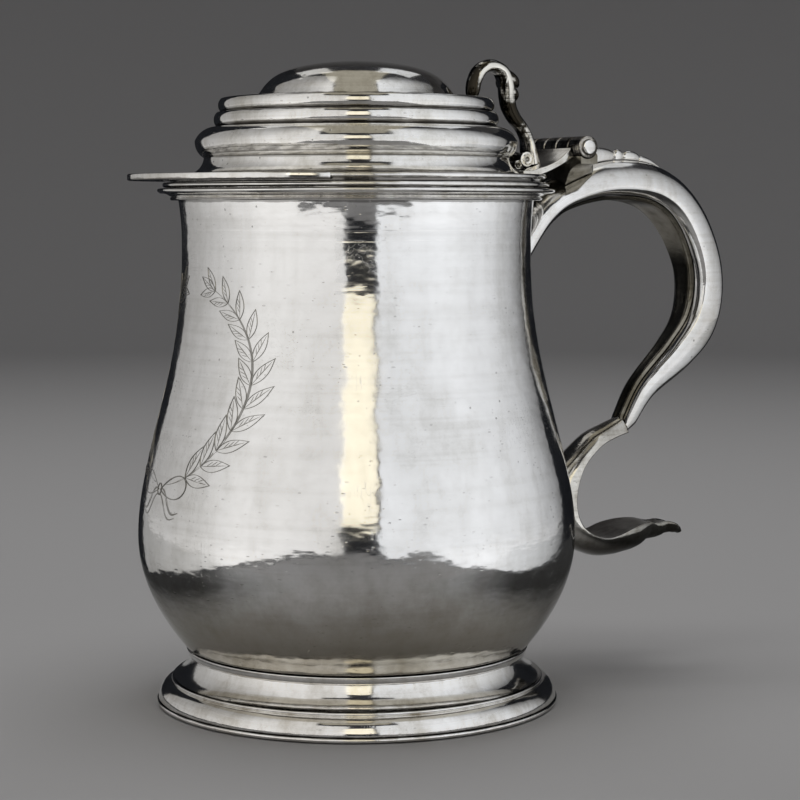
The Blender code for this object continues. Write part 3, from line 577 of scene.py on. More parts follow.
handleSilver = makeSilver("handleSilver", {
    "clean": (0.94, 0.93, 0.91), "film": (0.52, 0.48, 0.41), "amount": 0.42, "filmSize": 1.6, "gloss": 0.11,
    "scratches": 0.6, "pits": 0.9, "swarm": 0.12, "waveSize": 110.0, "waveDepth": 0.12, "markDepth": 0.04})
# painted shade: silver darkened far below its own colour, for the handle's inner strap and the hinge leaf;
# the film on it is tarnish
paintedShadeSilver = makeSilver("paintedShadeSilver", {
    "clean": (0.34, 0.32, 0.27), "film": (0.13, 0.115, 0.085), "amount": 0.9, "gloss": 0.22,
    "scratches": 0.8, "pits": 1.0, "waveSize": 140.0, "waveDepth": 0.12, "markDepth": 0.06})
hingeSilver = makeSilver("hingeSilver", {
    "clean": (0.62, 0.59, 0.54), "film": (0.05, 0.045, 0.038), "amount": 0.8, "filmSize": 5.0, "gloss": 0.13,
    "scratches": 0.5, "pits": 0.8, "waveSize": 220.0, "waveDepth": 0.06, "markDepth": 0.04})
castSilver = makeSilver("castSilver", {
    "clean": (0.86, 0.83, 0.76), "film": (0.035, 0.03, 0.022), "amount": 2.2, "filmSize": 3.0, "gloss": 0.1,
    "scratches": 0.5, "pits": 0.8, "waveSize": 240.0, "waveDepth": 0.09, "markDepth": 0.04,
    "clearAside": (3.05, 3.7)})
scrollSilver = makeSilver("scrollSilver", {
    "clean": (0.8, 0.78, 0.73), "film": (0.26, 0.23, 0.18), "amount": 0.6, "filmSize": 1.6, "gloss": 0.13,
    "scratches": 0.6, "pits": 1.0, "waveSize": 120.0, "waveDepth": 0.12, "markDepth": 0.05,
    # the band at 39 mm is painted shade on the underside of the scroll's tail, where there is no joint
    "seamsAndShade": [(39.0, 13.0, 1.0, 0.3)]})
# the engraved strokes stand raised on the body; their dark grey is tarnish in the cuts and painted shade for
# the grooves they don't have
engravedSilver = makeSilver("engravedSilver", {
    "clean": (0.42, 0.41, 0.39), "film": (0.16, 0.15, 0.13), "amount": 0.7, "gloss": 0.3,
    "scratches": 0.0, "pits": 0.0, "waveSize": 200.0, "waveDepth": 0.02, "markDepth": 0.01})
print("silver finishes ready")

vessel = {
    "rimHeight": 163.3, "mouthRadius": 56.9, "neckRadius": 55.3, "neckHeight": 147.0,
    "bellyRadius": 69.9, "bellyHeight": 53.5, "baseRadius": 54.4, "baseHeight": 17.6,
    "wall": 1.1, "waistBias": 1.25, "bottomFlat": 45.0, "bottomHeight": 14.0,
    # where the inner wall starts above the base and ends below the rim, and the soft corners at both ends
    "innerStart": 3.0, "innerEnd": 0.5, "cornerIn": 3.4, "cornerDrop": 0.4,
    "mouthShare": 0.7, "mouthDrop": 0.12,
    "scribedLines": (150.4, 147.6), "scribeDepth": 0.022, "scribeWidth": 0.45, "scribeSharp": 1.6,
    "outerSteps": 110, "innerSteps": 60, "turnSteps": 180,
}


def bodyRadius(height):
    neckHeight, bellyHeight = vessel["neckHeight"], vessel["bellyHeight"]
    neck, belly = vessel["neckRadius"], vessel["bellyRadius"]
    if height >= neckHeight:
        share = (height - neckHeight) / (vessel["rimHeight"] - neckHeight)
        return neck + (vessel["mouthRadius"] - neck) * share ** 2
    if height >= bellyHeight:
        share = ((neckHeight - height) / (neckHeight - bellyHeight)) ** vessel["waistBias"]
        return neck + (belly - neck) * share * share * (3 - 2 * share)
    share = (bellyHeight - height) / (bellyHeight - vessel["baseHeight"])
    return belly - (belly - vessel["baseRadius"]) * share ** 2


def buildBody():
    top, base, wall = vessel["rimHeight"], vessel["baseHeight"], vessel["wall"]
    flat, low = vessel["bottomFlat"], vessel["bottomHeight"]
    width, sharp = vessel["scribeWidth"], vessel["scribeSharp"]
    heights = spread(top, base, vessel["outerSteps"])
    for line in vessel["scribedLines"]:
        heights += [line + width * k / 3 for k in range(-4, 5)]
    outer = []
    for h in sorted(set(heights), reverse=True):
        groove = sum(math.exp(-((h - line) / width * sharp) ** 2) for line in vessel["scribedLines"])
        outer.append((bodyRadius(h) - vessel["scribeDepth"] * groove, h))
    innerHeights = spread(base + vessel["innerStart"], top - vessel["innerEnd"], vessel["innerSteps"])
    inner = [(bodyRadius(h) - wall, h) for h in innerHeights]
    inside = [(r, low + wall) for r in (0.0, flat * 0.5, flat)]
    inside.append((vessel["baseRadius"] - vessel["cornerIn"], base - vessel["cornerDrop"]))
    mouth = [(vessel["mouthRadius"] - wall * vessel["mouthShare"], top - vessel["mouthDrop"])]
    bottom = [(r, low) for r in (flat, flat * 0.5, 0.0)]
    profile = inside + inner + mouth + outer + bottom
    piece = turnProfile("vesselBody", profile, steps=vessel["turnSteps"], closed=False)
    return dress(piece, "vessel", vesselSilver, ["body"], 40)


vesselBody = buildBody()
print("body turned")

engraving = {
    "middle": 104.0, "halfWide": 31.0, "halfHigh": 31.0, "line": 0.36, "outline": 0.2, "branchLine": 2.2,
    # leaves stand in pairs between two angles of the wreath's oval, the stems below them bare
    "count": 11, "first": -82, "last": 66, "bare": 19, "lean": 34, "smaller": 0.3,
    "leafLong": 11.5, "leafWide": 0.17, "leafFull": 0.85, "rib": (0.06, 0.86), "veins": (0.25, 0.4, 0.55),
    "veinLine": 0.7, "veinFrom": 0.1, "veinAside": 0.3, "veinUp": 0.55, "veinPoints": 5,
    "tipSize": 0.75, "tipLean": (0.9, 0.5), "thinEnd": 0.25,
    "lift": 0.04, "depthShare": 2.5, "startAt": 0.09,
}
ribbon = {
    "below": 1.5, "border": 1.6, "loopMiddle": 8.0, "loopReach": 7.6, "loopRise": 4.8, "loopTilt": 1.1,
    "tailIn": 0.4, "tailReach": 13.0, "tailFall": 7.0, "tailWave": 1.6, "tailBends": 7.0, "tailLine": 2.4,
    "secondIn": 1.6, "secondDown": 1.7, "secondLine": 1.6, "knotWide": 1.5, "knotHigh": 1.9, "knotBelow": 1.4,
}
wreathLow = engraving["middle"] - engraving["halfHigh"]


def flatShape(name, outline, line=None):
    # flat outline in the plane x = 0, (side, up) in mm; with a line width only its border stays
    piece = startRing(name, [Vector((0.0, y * mm, z * mm)) for y, z in outline])
    if line:
        bpy.ops.mesh.inset(thickness=line * mm)
        bpy.ops.mesh.delete(type="FACE")
    bpy.ops.object.mode_set(mode="OBJECT")
    return piece


def taperedLine(name, path, width):
    # engraver's stroke: thin at both ends
    thin = engraving["thinEnd"]
    left, right = [], []
    for i, (y, z) in enumerate(path):
        ahead, behind = path[min(i + 1, len(path) - 1)], path[max(i - 1, 0)]
        run = Vector((ahead[0] - behind[0], ahead[1] - behind[1])).normalized()
        half = width / 2 * (thin + (1 - thin) * math.sin(math.pi * i / (len(path) - 1)))
        left.append((y - run[1] * half, z + run[0] * half))
        right.append((y + run[1] * half, z - run[0] * half))
    return flatShape(name, left + list(reversed(right)))


def buildLeafMaster():
    long, line = engraving["leafLong"], engraving["line"]
    edge = [(math.sin(math.pi * share ** engraving["leafFull"]) * engraving["leafWide"] * long, share * long)
            for share in spread(0.0, 1.0, 14)]
    outline = edge + [(-y, z) for y, z in reversed(edge[1:-1])]
    parts = [flatShape("leafEdge", outline, engraving["outline"])]
    ribStart, ribEnd = engraving["rib"]
    parts.append(taperedLine("leafRib", [(0.0, z) for z in spread(long * ribStart, long * ribEnd, 8)], line))
    for share in engraving["veins"]:
        vein = [(engraving["veinFrom"] + k * engraving["veinAside"], long * share + k * engraving["veinUp"])
                for k in range(engraving["veinPoints"])]
        parts.append(taperedLine("leafVein", vein, line * engraving["veinLine"]))
    return joinPieces("leafMaster", parts)


def placeCopy(master, size, turn, spot):
    makeActive(master)
    bpy.ops.object.duplicate()
    copy = bpy.context.object
    editAll(copy)
    bpy.ops.transform.resize(value=(1.0, size, size), center_override=(0, 0, 0))
    bpy.ops.transform.rotate(value=turn, orient_axis="X", center_override=(0, 0, 0))
    bpy.ops.transform.translate(value=(0.0, spot[0] * mm, spot[1] * mm))
    bpy.ops.object.mode_set(mode="OBJECT")
    return copy


def wreathSpot(side, angle):
    return (side * engraving["halfWide"] * math.cos(angle),
            engraving["middle"] + engraving["halfHigh"] * math.sin(angle))


def buildBranch(leaf, side):
    first, last, bare, count = (engraving[key] for key in ("first", "last", "bare", "count"))
    stem = [wreathSpot(side, math.radians(degrees)) for degrees in spread(first, last, 40)]
    parts = [taperedLine("branch", stem, engraving["line"] * engraving["branchLine"])]
    for k in range(count):
        angle = math.radians(first + bare + (last - first - bare) * k / (count - 1))
        # the stem's direction, from upright to +y
        sideways = -side * engraving["halfWide"] * math.sin(angle)
        heading = math.atan2(sideways, engraving["halfHigh"] * math.cos(angle))
        size = 1.0 - engraving["smaller"] * k / count
        for lean in (-1, 1):
            turn = heading + lean * math.radians(engraving["lean"])
            parts.append(placeCopy(leaf, size, turn, wreathSpot(side, angle)))
    tipAside, tipUp = engraving["tipLean"]
    parts.append(placeCopy(leaf, engraving["tipSize"], math.atan2(-side * tipAside, tipUp), stem[-1]))
    return parts


def buildRibbon(side):
    # one loop and two tails of the bow
    start = wreathLow - ribbon["below"]
    loop = []
    for a in roundAngles(30):
        rise = ribbon["loopRise"] * math.sin(a) * math.sin(a / 2)
        loop.append((side * (ribbon["loopMiddle"] - ribbon["loopReach"] * math.cos(a)),
                     start + rise + ribbon["loopTilt"] * (1 - math.cos(a))))
    parts = [flatShape("bowLoop", loop, engraving["outline"] * ribbon["border"])]
    tail = [(side * (ribbon["tailIn"] + ribbon["tailReach"] * f),
             start - ribbon["tailFall"] * f + ribbon["tailWave"] * math.sin(f * ribbon["tailBends"]))
            for f in spread(0.0, 1.0, 24)]
    parts.append(taperedLine("bowTail", tail, engraving["line"] * ribbon["tailLine"]))
    tail = [(y - side * ribbon["secondIn"], z - ribbon["secondDown"]) for y, z in tail]
    parts.append(taperedLine("bowTail", tail, engraving["line"] * ribbon["secondLine"]))
    return parts


def buildEngraving():
    leaf = buildLeafMaster()
    parts = []
    for side in (-1, 1):
        parts += buildBranch(leaf, side)
        parts += buildRibbon(side)
    knotMiddle = wreathLow - ribbon["knotBelow"]
    knot = [(ribbon["knotWide"] * math.cos(a), knotMiddle + ribbon["knotHigh"] * math.sin(a))
            for a in roundAngles(18)]
    parts.append(flatShape("bowKnot", knot, engraving["outline"] * ribbon["border"]))
    bpy.data.objects.remove(leaf, do_unlink=True)
    piece = joinPieces("frontEngraving", parts)
    editAll(piece)
    bpy.ops.transform.translate(value=(axisX - engraving["startAt"], 0.0, 0.0))
    bpy.ops.object.mode_set(mode="OBJECT")
    wrap = piece.modifiers.new("onto the body", "SHRINKWRAP")
    wrap.target = vesselBody
    wrap.wrap_method = "PROJECT"
    wrap.wrap_mode = "ABOVE_SURFACE"
    wrap.use_project_x = True
    wrap.use_project_y = False
    wrap.use_project_z = False
    wrap.use_positive_direction = True
    wrap.use_negative_direction = False
    wrap.offset = engraving["lift"] * mm
    bpy.ops.object.modifier_apply(modifier=wrap.name)
    if piece.data.polygons[0].normal.x > 0:
        editAll(piece)
        bpy.ops.mesh.flip_normals()
        bpy.ops.object.mode_set(mode="OBJECT")
    thick = piece.modifiers.new("stroke depth", "SOLIDIFY")
    thick.thickness = engraving["lift"] * engraving["depthShare"] * mm
    thick.offset = -1.0
    bpy.ops.object.modifier_apply(modifier=thick.name)
    dress(piece, "vessel", engravedSilver, [], 30)


buildEngraving()
print("wreath engraved")

rim = {
    "inner": 57.2, "outer": 62.9, "round": 0.75, "roundShare": 0.75, "edge": 1.5, "cove": 1.0, "bead": 1.2,
    "beadOut": 58.7, "soft": 0.35, "under": 0.2, "coveBow": 0.3, "neck": 0.4,
    "beadStart": 0.05, "beadBow": 0.55,
}


def buildRim():
    top = vessel["rimHeight"]
    low = top - rim["edge"]
    beadTop = low - rim["cove"]
    beadLow = beadTop - rim["bead"]
    edge, bead = rim["outer"] - rim["round"], rim["beadOut"]
    soft, under, neck = rim["soft"], rim["under"], rim["neck"]
    profile = bowedLine([
        (rim["inner"], top, 0), (edge, top, -rim["round"] * rim["roundShare"]), (edge + soft, low + soft, 0),
        (edge - under, low, rim["coveBow"]), (bead + neck, beadTop + under, 0), (bead - neck, beadTop, 0),
        (bead - neck, beadTop - rim["beadStart"], -rim["beadBow"]), (bead - neck, beadLow, 0),
        (rim["inner"], beadLow, 0)], 8)
    piece = turnProfile("rimMoulding", profile)
    dress(piece, "vessel", lidSilver, ["rim_moulding"], 40)


buildRim()

foot = {
    "radius": 64.5, "wire": 1.5, "wireWidth": 3.0, "ringBase": 1.8, "step": 8.1, "stepRadius": 59.3,
    "ringWall": 2.0, "ringBow": 1.25, "ringHollow": 0.8, "collarBase": 8.4, "collarTop": 15.0,
    "collarTopRadius": 53.0, "collarWall": 1.5, "collarBow": 1.35, "collarHollow": 1.3,
    "beadBase": 15.3, "beadTop": 17.6, "beadOut": 54.9, "beadIn": 52.5, "beadSlope": 0.75, "beadChamfer": 0.6,
    # out from the step, down from it and bow: the thin raised line
    "stepLine": [(0.0, 0.0, 0), (0.25, 0.15, -0.12), (0.3, 0.85, 0)],
    "ringStart": (0.1, 1.0), "ringFoot": 0.7,
    # in from the bead's edge, down from its top and bow
    "beadLine": [(0.1, 0.0, -0.1), (0.1, 0.5, 0), (0.35, 0.6, -0.12)],
}


def turnFootPiece(name, points, steps, node):
    dress(turnProfile(name, bowedLine(points, steps)), "vessel", footSilver, [node])


def buildFoot():
    half, wireIn = foot["wire"] / 2, foot["radius"] - foot["wireWidth"]
    turnFootPiece("footWire", [
        (foot["radius"] - half, foot["wire"], -half), (foot["radius"] - half, 0.0, 0),
        (wireIn, 0.0, 0), (wireIn, foot["wire"], 0)], 10, "foot_wire")
    # thin raised line at the step, then the rounded moulding and its hollow back
    edge, step = foot["stepRadius"], foot["step"]
    raised = [(edge + out, step - down, bow) for out, down, bow in foot["stepLine"]]
    ringOut, ringDown = foot["ringStart"]
    turnFootPiece("footRing", raised + [
        (edge + ringOut, step - ringDown, -foot["ringBow"]),
        (foot["radius"] - half * foot["ringFoot"], foot["ringBase"], 0),
        (wireIn, foot["ringBase"], foot["ringHollow"]), (edge - foot["ringWall"], step, 0)], 14, "foot_ring")
    low, wall, collarTop = edge - solderGap, foot["collarWall"], foot["collarTop"]
    turnFootPiece("footCollar", [
        (foot["collarTopRadius"], collarTop, foot["collarBow"]), (low, foot["collarBase"], 0),
        (low - wall, foot["collarBase"], -foot["collarHollow"]),
        (foot["collarTopRadius"] - wall, collarTop, 0)], 14, "foot_collar")
    base, beadIn = foot["beadBase"], foot["beadIn"]
    bead = [(foot["beadOut"] - inset, foot["beadTop"] - down, bow) for inset, down, bow in foot["beadLine"]]
    turnFootPiece("footBead", bead + [
        (foot["beadOut"] - foot["beadSlope"], base, 0), (beadIn, base, 0),
        (beadIn, base + foot["beadChamfer"], 0)], 8, "foot_bead")


buildFoot()
print("rim and foot turned")

lid = {
    "base": 163.6, "wire": 1.6, "wireRadius": 61.2, "wireWidth": 4.0,
    "flangeRadius": 60.6, "flange": 2.2, "undercut": 0.75, "undercutIn": 0.7, "undercutDrop": 0.1,
    "neckRadius": 48.2, "cove": 5.2, "torusRadius": 51.0, "torusRise": 9.7, "torusMiddle": 0.55, "bulge": 0.3,
    "lowRadius": 45.0, "lowRise": 4.6, "highRadius": 43.6, "highRise": 4.4, "stepRound": 0.9, "topRise": 0.6,
    # small ledges and softened edges of the steps
    "lowLedge": 0.3, "highLedge": 0.5, "stepSoft": 0.15, "stepFoot": 0.1, "domeFoot": (0.5, 0.25),
    # the dome's line: distance from the axis, fall from the crown
    "domeRise": 11.0, "domeLine": [(0.0, 0.0), (6.0, 0.15), (12.0, 0.7), (18.0, 1.75), (22.2, 2.95),
                                   (25.8, 4.75), (28.6, 7.2), (30.4, 9.6), (31.6, 11.2)],
    "wall": 1.1, "hollowFrom": 3, "bezelRadius": 53.37, "bezelWall": 1.2, "bezelLow": 158.3,
    "bezelSoft": (0.3, 0.4), "turnSteps": 180,
}
flangeBase = lid["base"] + lid["wire"] + solderGap
flangeTop = flangeBase + lid["flange"]


def lidLine():
    # crown to flange along the outside, as points with bows
    torusBase = flangeTop + lid["cove"]
    torusMiddle = torusBase + lid["torusRise"] * lid["torusMiddle"]
    torusTop = torusBase + lid["torusRise"]
    lowTop = torusTop + lid["lowRise"]
    highTop = lowTop + lid["highRise"]
    domeBase = highTop + lid["topRise"]
    crown = domeBase + lid["domeRise"]
    dome = [(r, crown - fall, 0) for r, fall in smoothLine(lid["domeLine"], 5)]
    rounding, neck, torus = lid["stepRound"], lid["neckRadius"], lid["torusRadius"]
    high, low = lid["highRadius"] - rounding, lid["lowRadius"] - rounding
    soft, (footOut, footDown) = lid["stepSoft"], lid["domeFoot"]
    return dome + [
        (lid["domeLine"][-1][0] + footOut, domeBase - footDown, 0),
        (high - lid["highLedge"], highTop, 0), (high, highTop - soft, -rounding),
        (high, lowTop + lid["stepFoot"], 0), (high - soft, lowTop, 0),
        (low - lid["lowLedge"], lowTop, 0), (low, lowTop - soft, -rounding),
        (low, torusTop, -(torusTop - torusMiddle) * lid["bulge"]),
        (torus, torusMiddle, -(torus - neck) * lid["bulge"]),
        (neck, torusBase, lid["cove"] / 4), (neck + lid["cove"], flangeTop, 0)]


def buildLid():
    line, wall = lidLine(), lid["wall"]
    rounded, undercut = lid["flangeRadius"] - lid["flange"] / 2, flangeBase + lid["undercut"]
    heel = rounded - lid["undercutIn"]
    outer = bowedLine(line + [(rounded, flangeTop, -(flangeTop - undercut) / 2), (rounded, undercut, 0),
                              (heel, undercut - lid["undercutDrop"], 0), (heel, flangeBase, 0)], 10)
    hollow = [point[:2] for point in line[2:-1] if point[0] > lid["hollowFrom"]]
    inner = [(0.0, line[0][1] - wall)] + [(r - wall, h - wall) for r, h in hollow]
    inner.append((lid["neckRadius"] - wall, flangeBase))
    piece = turnProfile("lidDome", outer + list(reversed(inner)), steps=lid["turnSteps"], closed=False)
    dress(piece, "cover", lidSilver, ["lid"], 38)


def buildLidWire():
    half, low, top = lid["wire"] / 2, lid["base"], lid["base"] + lid["wire"]
    outer, inner = lid["wireRadius"] - half, lid["wireRadius"] - lid["wireWidth"]
    wire = bowedLine([(outer, top, -half), (outer, low, 0), (inner, low, 0), (inner, top, 0)], 10)
    dress(turnProfile("lidRimWire", wire), "cover", lidSilver, ["lid_rim_wire"])


def buildBezel():
    outer, inner = lid["bezelRadius"], lid["bezelRadius"] - lid["bezelWall"]
    low, top = lid["bezelLow"], flangeBase - solderGap
    aside, up = lid["bezelSoft"]
    bezel = [(outer, top), (outer, low + up), (outer - aside, low), (inner + aside, low), (inner, low + up),
             (inner, top)]
    dress(turnProfile("lidBezel", bezel), "cover", lidSilver, ["lid_bezel"])


buildLid()
buildLidWire()
buildBezel()

lip = {"reach": 73.5, "thickness": 2.0, "halfAngle": 56, "endStep": 1.2, "soften": 0.4}


def buildLip():
    # crescent between the flange's round edge and a wider arc through the tip
    inner, reach = lid["flangeRadius"] + solderGap, lip["reach"]
    turn = math.radians(lip["halfAngle"])
    endX, endY = (inner + lip["endStep"]) * math.cos(turn), (inner + lip["endStep"]) * math.sin(turn)
    centre = (reach ** 2 - endX ** 2 - endY ** 2) / (2 * (reach - endX))
    radius = reach - centre
    sweep = math.atan2(endY, endX - centre)
    outline = [(-centre - radius * math.cos(a), radius * math.sin(a)) for a in spread(sweep, -sweep, 72)]
    outline += [(-inner * math.cos(a), inner * math.sin(a)) for a in spread(-turn, turn, 56)]
    rings = [[Vector((axisX + x * mm, y * mm, (flangeTop - down) * mm)) for x, y in outline]
             for down in (lip["thickness"], 0.0)]
    piece = sweepRings("frontLip", rings)
    bevelSharp(piece, lip["soften"], 3, 40)
    dress(piece, "cover", lidSilver, ["front_lip"])


buildLip()
print("lid turned and lip cut")

hinge = {
    "out": 75.6, "height": 177.0, "barrel": 3.6, "pin": 1.7, "play": 0.3, "head": 2.2, "headRise": 0.7,
    "knuckle": 7.0, "gap": 0.3, "count": 5, "lidPlateWidth": 27.0, "plate": 3.1, "plateMeets": 205,
    "plateSoften": 0.35, "plateHeel": 0.4, "plateRise": (0.75, 0.42, 0.4),
    "leafTop": 35.0, "leafFoot": 17.0, "leafBack": 8.5, "leafFront": 2.5, "leafEdge": 1.5,
    "cradle": (-30, -130),
    # shares of the pin head's radius and rise
    "headLine": [(1.0, 0.0), (1.0, 0.55), (0.86, 0.85), (0.5, 1.0), (0.0, 1.02)],
}
hingePoint = Vector((axisX + hinge["out"] * mm, 0.0, hinge["height"] * mm))
barrelSeat = hinge["barrel"] + solderGap  # radius at which the plates meet the barrel


def buildKnuckles():
    # odd ones belong to the handle, even ones to the lid
    pitch = hinge["knuckle"] + hinge["gap"]
    bore, barrel = hinge["pin"] + hinge["play"], hinge["barrel"]
    # radius and how far in from the end, from the bore's chamfer to the barrel
    rounded = [(bore, 0.5), (bore + 0.35, 0.08), (barrel - 0.55, 0.0), (barrel - 0.2, 0.1), (barrel, 0.3),
               (barrel, 0.5)]
    names = {"handle": 0, "lid": 0}
    for index in range(hinge["count"]):
        side, body = ("handle", "vessel") if index % 2 == 0 else ("lid", "cover")
        names[side] += 1
        start = (index - hinge["count"] / 2) * pitch + hinge["gap"] / 2
        end = start + hinge["knuckle"]
        profile = [(radius, start + inset) for radius, inset in rounded]
        profile += [(radius, end - inset) for radius, inset in reversed(rounded)]
        piece = turnProfile(f"{side}Knuckle{names[side]}", profile, hingePoint, upright, across, 56)
        dress(piece, body, hingeSilver, [f"{side}_knuckle_{names[side]}"], 50)


def buildPin():
    head, rise = hinge["head"], hinge["headRise"]
    reach = hinge["count"] / 2 * (hinge["knuckle"] + hinge["gap"]) - hinge["gap"] / 2
    heads = []
    for sign in (-1, 1):
        face = sign * (reach + hinge["play"])
        heads.append([(hinge["pin"], face)] + [(head * wide, face + sign * rise * high)
                                               for wide, high in hinge["headLine"]])
    profile = list(reversed(heads[0])) + heads[1]
    pin = turnProfile("hingePin", profile, hingePoint, upright, across, 48, closed=False)
    dress(pin, "vessel", handleSilver, ["hinge_pin"], 50)


buildKnuckles()
buildPin()


def buildLidPlate():
    # leaf from the flange up to the barrel, of one width
    plate, step, footing = hinge["plate"], hinge["plateHeel"], flangeTop + solderGap
    bend, middle, end = (footing + plate * share for share in hinge["plateRise"])
    heel = lid["flangeRadius"] - step
    toe = lid["neckRadius"] + lid["cove"] + solderGap
    meet, wide = math.radians(hinge["plateMeets"]), plate / barrelSeat
    arc = [(hinge["out"] + barrelSeat * math.cos(a), hinge["height"] + barrelSeat * math.sin(a))
           for a in spread(meet + wide / 2, meet - wide / 2, 5)]
    outline = bowedLine([(toe, footing, 0), (heel, footing, plate / 6), (*arc[0], 0)], 10)[:-1]
    outline += arc
    outline += bowedLine([(*arc[-1], -plate / 3), (heel + step, bend, 0), (heel - plate, middle, 0),
                          (toe, end, 0)], 10)[1:]
    half = hinge["lidPlateWidth"] / 2
    rings = [[Vector((axisX + x * mm, side * half * mm, z * mm)) for x, z in outline] for side in (-1, 1)]
    piece = sweepRings("lidHingePlate", rings)
    bevelSharp(piece, hinge["plateSoften"], 3, 45)
    dress(piece, "cover", scrollSilver, ["lid_hinge_plate"])
    return outline


lidPlateLine = buildLidPlate()
print("hinge barrel and lid plate made")

handle = {
    "breakPoint": (99.4, 85.0), "corner": (101.5, 81.1), "mitreGap": 0.15, "strap": 1.2,
    # shares of the section near the rim, then of the one near the break
    "strapShare": 0.6, "flankShare": 0.32, "strapLow": 0.4, "flankLow": 0.27,
    # where along the handle the section starts to change, over what share, and by how much
    "changeFrom": 0.42, "changeOver": 0.4, "narrower": 0.24, "deeper": 0.17, "nearer": 0.9, "squarer": 0.36,
    "sideRound": 0.9, "sideSwell": 0.035, "backFrom": 0.12, "steps": 9,
    # share of the drop from rim to break, stand-off from the line between them, depth, width
    "upper": [(0.451, -23.4, 11.0, 23.0), (0.244, -4.4, 10.5, 22.5), (0.138, 6.8, 10.0, 22.0),
              (0.078, 17.4, 10.4, 22.0), (0.043, 33.5, 12.9, 22.0), (0.065, 48.9, 14.1, 22.5),
              (0.166, 55.0, 13.9, 22.7), (0.352, 54.2, 12.9, 22.7), (0.530, 46.2, 12.2, 22.0),
              (0.662, 34.0, 10.6, 20.0), (0.834, 14.2, 7.4, 16.0), (1.000, 0.0, 5.6, 13.0)],
    # along the flat face: out from the belly, up from its widest point, depth to the rounded back, width
    "lower": [(31.6, 27.6, 5.6, 10.0), (26.0, 26.2, 4.8, 11.6), (19.6, 23.6, 4.6, 13.4),
              (13.1, 18.0, 4.8, 15.2), (9.6, 11.0, 7.4, 16.4), (8.8, 4.0, 9.2, 17.2),
              (10.4, -1.8, 8.2, 18.2), (14.6, -5.6, 6.4, 19.2), (20.0, -7.2, 7.0, 20.2)],
    "tail": [(24.6, -6.5, 8.0, 21.2), (29.6, -4.8, 9.0, 20.8), (35.0, -3.6, 9.0, 17.4),
             (40.0, -3.3, 7.8, 12.6), (44.5, -4.2, 5.8, 9.2), (48.5, -4.0, 5.0, 7.8),
             (52.3, -5.0, 3.8, 6.8), (54.8, -6.6, 2.8, 5.4), (56.2, -8.2, 1.4, 3.0)],
}


def upperFrames():
    top, mouth = vessel["rimHeight"], vessel["mouthRadius"]
    rEnd, hEnd = handle["breakPoint"]
    rows = [(mouth + (rEnd - mouth) * share + off, top + (hEnd - top) * share, depth, width)
            for share, off, depth, width in handle["upper"]]
    return framesAlong(smoothLine(rows, handle["steps"]))


def lowerFrames():
    rows = [(vessel["bellyRadius"] + out, vessel["bellyHeight"] + up, depth, width)
            for out, up, depth, width in handle["lower"] + handle["tail"]]
    return framesAlong(smoothLine(rows, handle["steps"]))


def mitreEnds(upper, lower):
    # both end sections turn into the plane from the break to the pointed corner
    inside, outside = Vector(handle["breakPoint"]), Vector(handle["corner"])
    face = (outside - inside).normalized()
    apart = Vector((face[1], -face[0])) * handle["mitreGap"]
    upper[-1][:3] = [inside - apart, face, (outside - inside).length]
    lower[0][:3] = [outside + apart, face, (outside - inside).length]


def buildSeatCutter():
    # everything inside the vessel's skin, a solder seam larger
    heights = spread(vessel["rimHeight"] - 4.0, vessel["baseHeight"], 60)
    wall = [(bodyRadius(h) + solderGap, h) for h in heights]
    edge, top = rim["outer"] + solderGap, lid["base"] + lid["wire"]
    profile = [(0.0, top), (edge, top), (edge, heights[0] + 0.02)] + wall + [(0.0, vessel["baseHeight"])]
    return turnProfile("seatCutter", profile, closed=False)


def blend(first, second, share):
    return first + (second - first) * share


def changeAt(share):
    # 0 near the rim, 1 near the break, with a smooth change between
    late = min(1.0, max(0.0, (share - handle["changeFrom"]) / handle["changeOver"]))
    return late * late * (3 - 2 * late)


def backSection(half, depth, flank, strap, late):
    # one flank, the rounded back and the other flank
    floor = handle["strap"] + solderGap
    slope = (half - strap) / flank
    edge = strap + slope * floor * (1 - late) + 0.5 * late
    side = []
    for k in range(7):
        f = k / 7
        quarter = f * math.pi / 2
        aside = (1 - late) * f + late * math.sin(quarter) ** handle["sideRound"]
        inward = (1 - late) * f + late * (1 - math.cos(quarter) ** handle["sideRound"])
        swell = math.sin(math.pi * f) * handle["sideSwell"] * half * (1 - late)
        side.append((edge + (half - edge) * aside + swell, floor + (flank - floor) * inward))
    full = 1.0 - handle["squarer"] * late  # from an ellipse to a rounded block
    back = [(half * math.copysign(abs(math.cos(a)) ** full, math.cos(a)),
             flank + (depth - flank) * math.sin(a) ** full)
            for a in spread(handle["backFrom"], math.pi - handle["backFrom"], 26)]
    return side + back + [(-u, v) for u, v in reversed(side)]


def strapSection(half, flank, strap, late):
    # slightly crowned strap with softened edges
    thick = handle["strap"]
    slope = (half - strap) / flank
    edge = strap + slope * thick * (1 - late) + 0.3 * late
    return [(-strap + 0.5, 0.0), (-strap * 0.5, 0.12), (0.0, 0.16), (strap * 0.5, 0.12), (strap - 0.5, 0.0),
            (strap + 0.1, 0.25), (edge, thick), (-edge, thick), (-strap - 0.1, 0.25)]


def scrollSection(half, depth):
    # rounded back with a nearly flat face
    ring = [(half * math.cos(a), -depth * math.sin(a)) for a in spread(0.0, math.pi, 28)]
    ring[0], ring[-1] = (half - 0.02, -0.35), (-half + 0.02, -0.35)
    return ring + [(-half + 0.35, -0.02), (-half * 0.55, -0.28), (0.0, -0.36), (half * 0.55, -0.28),
                   (half - 0.35, -0.02)]


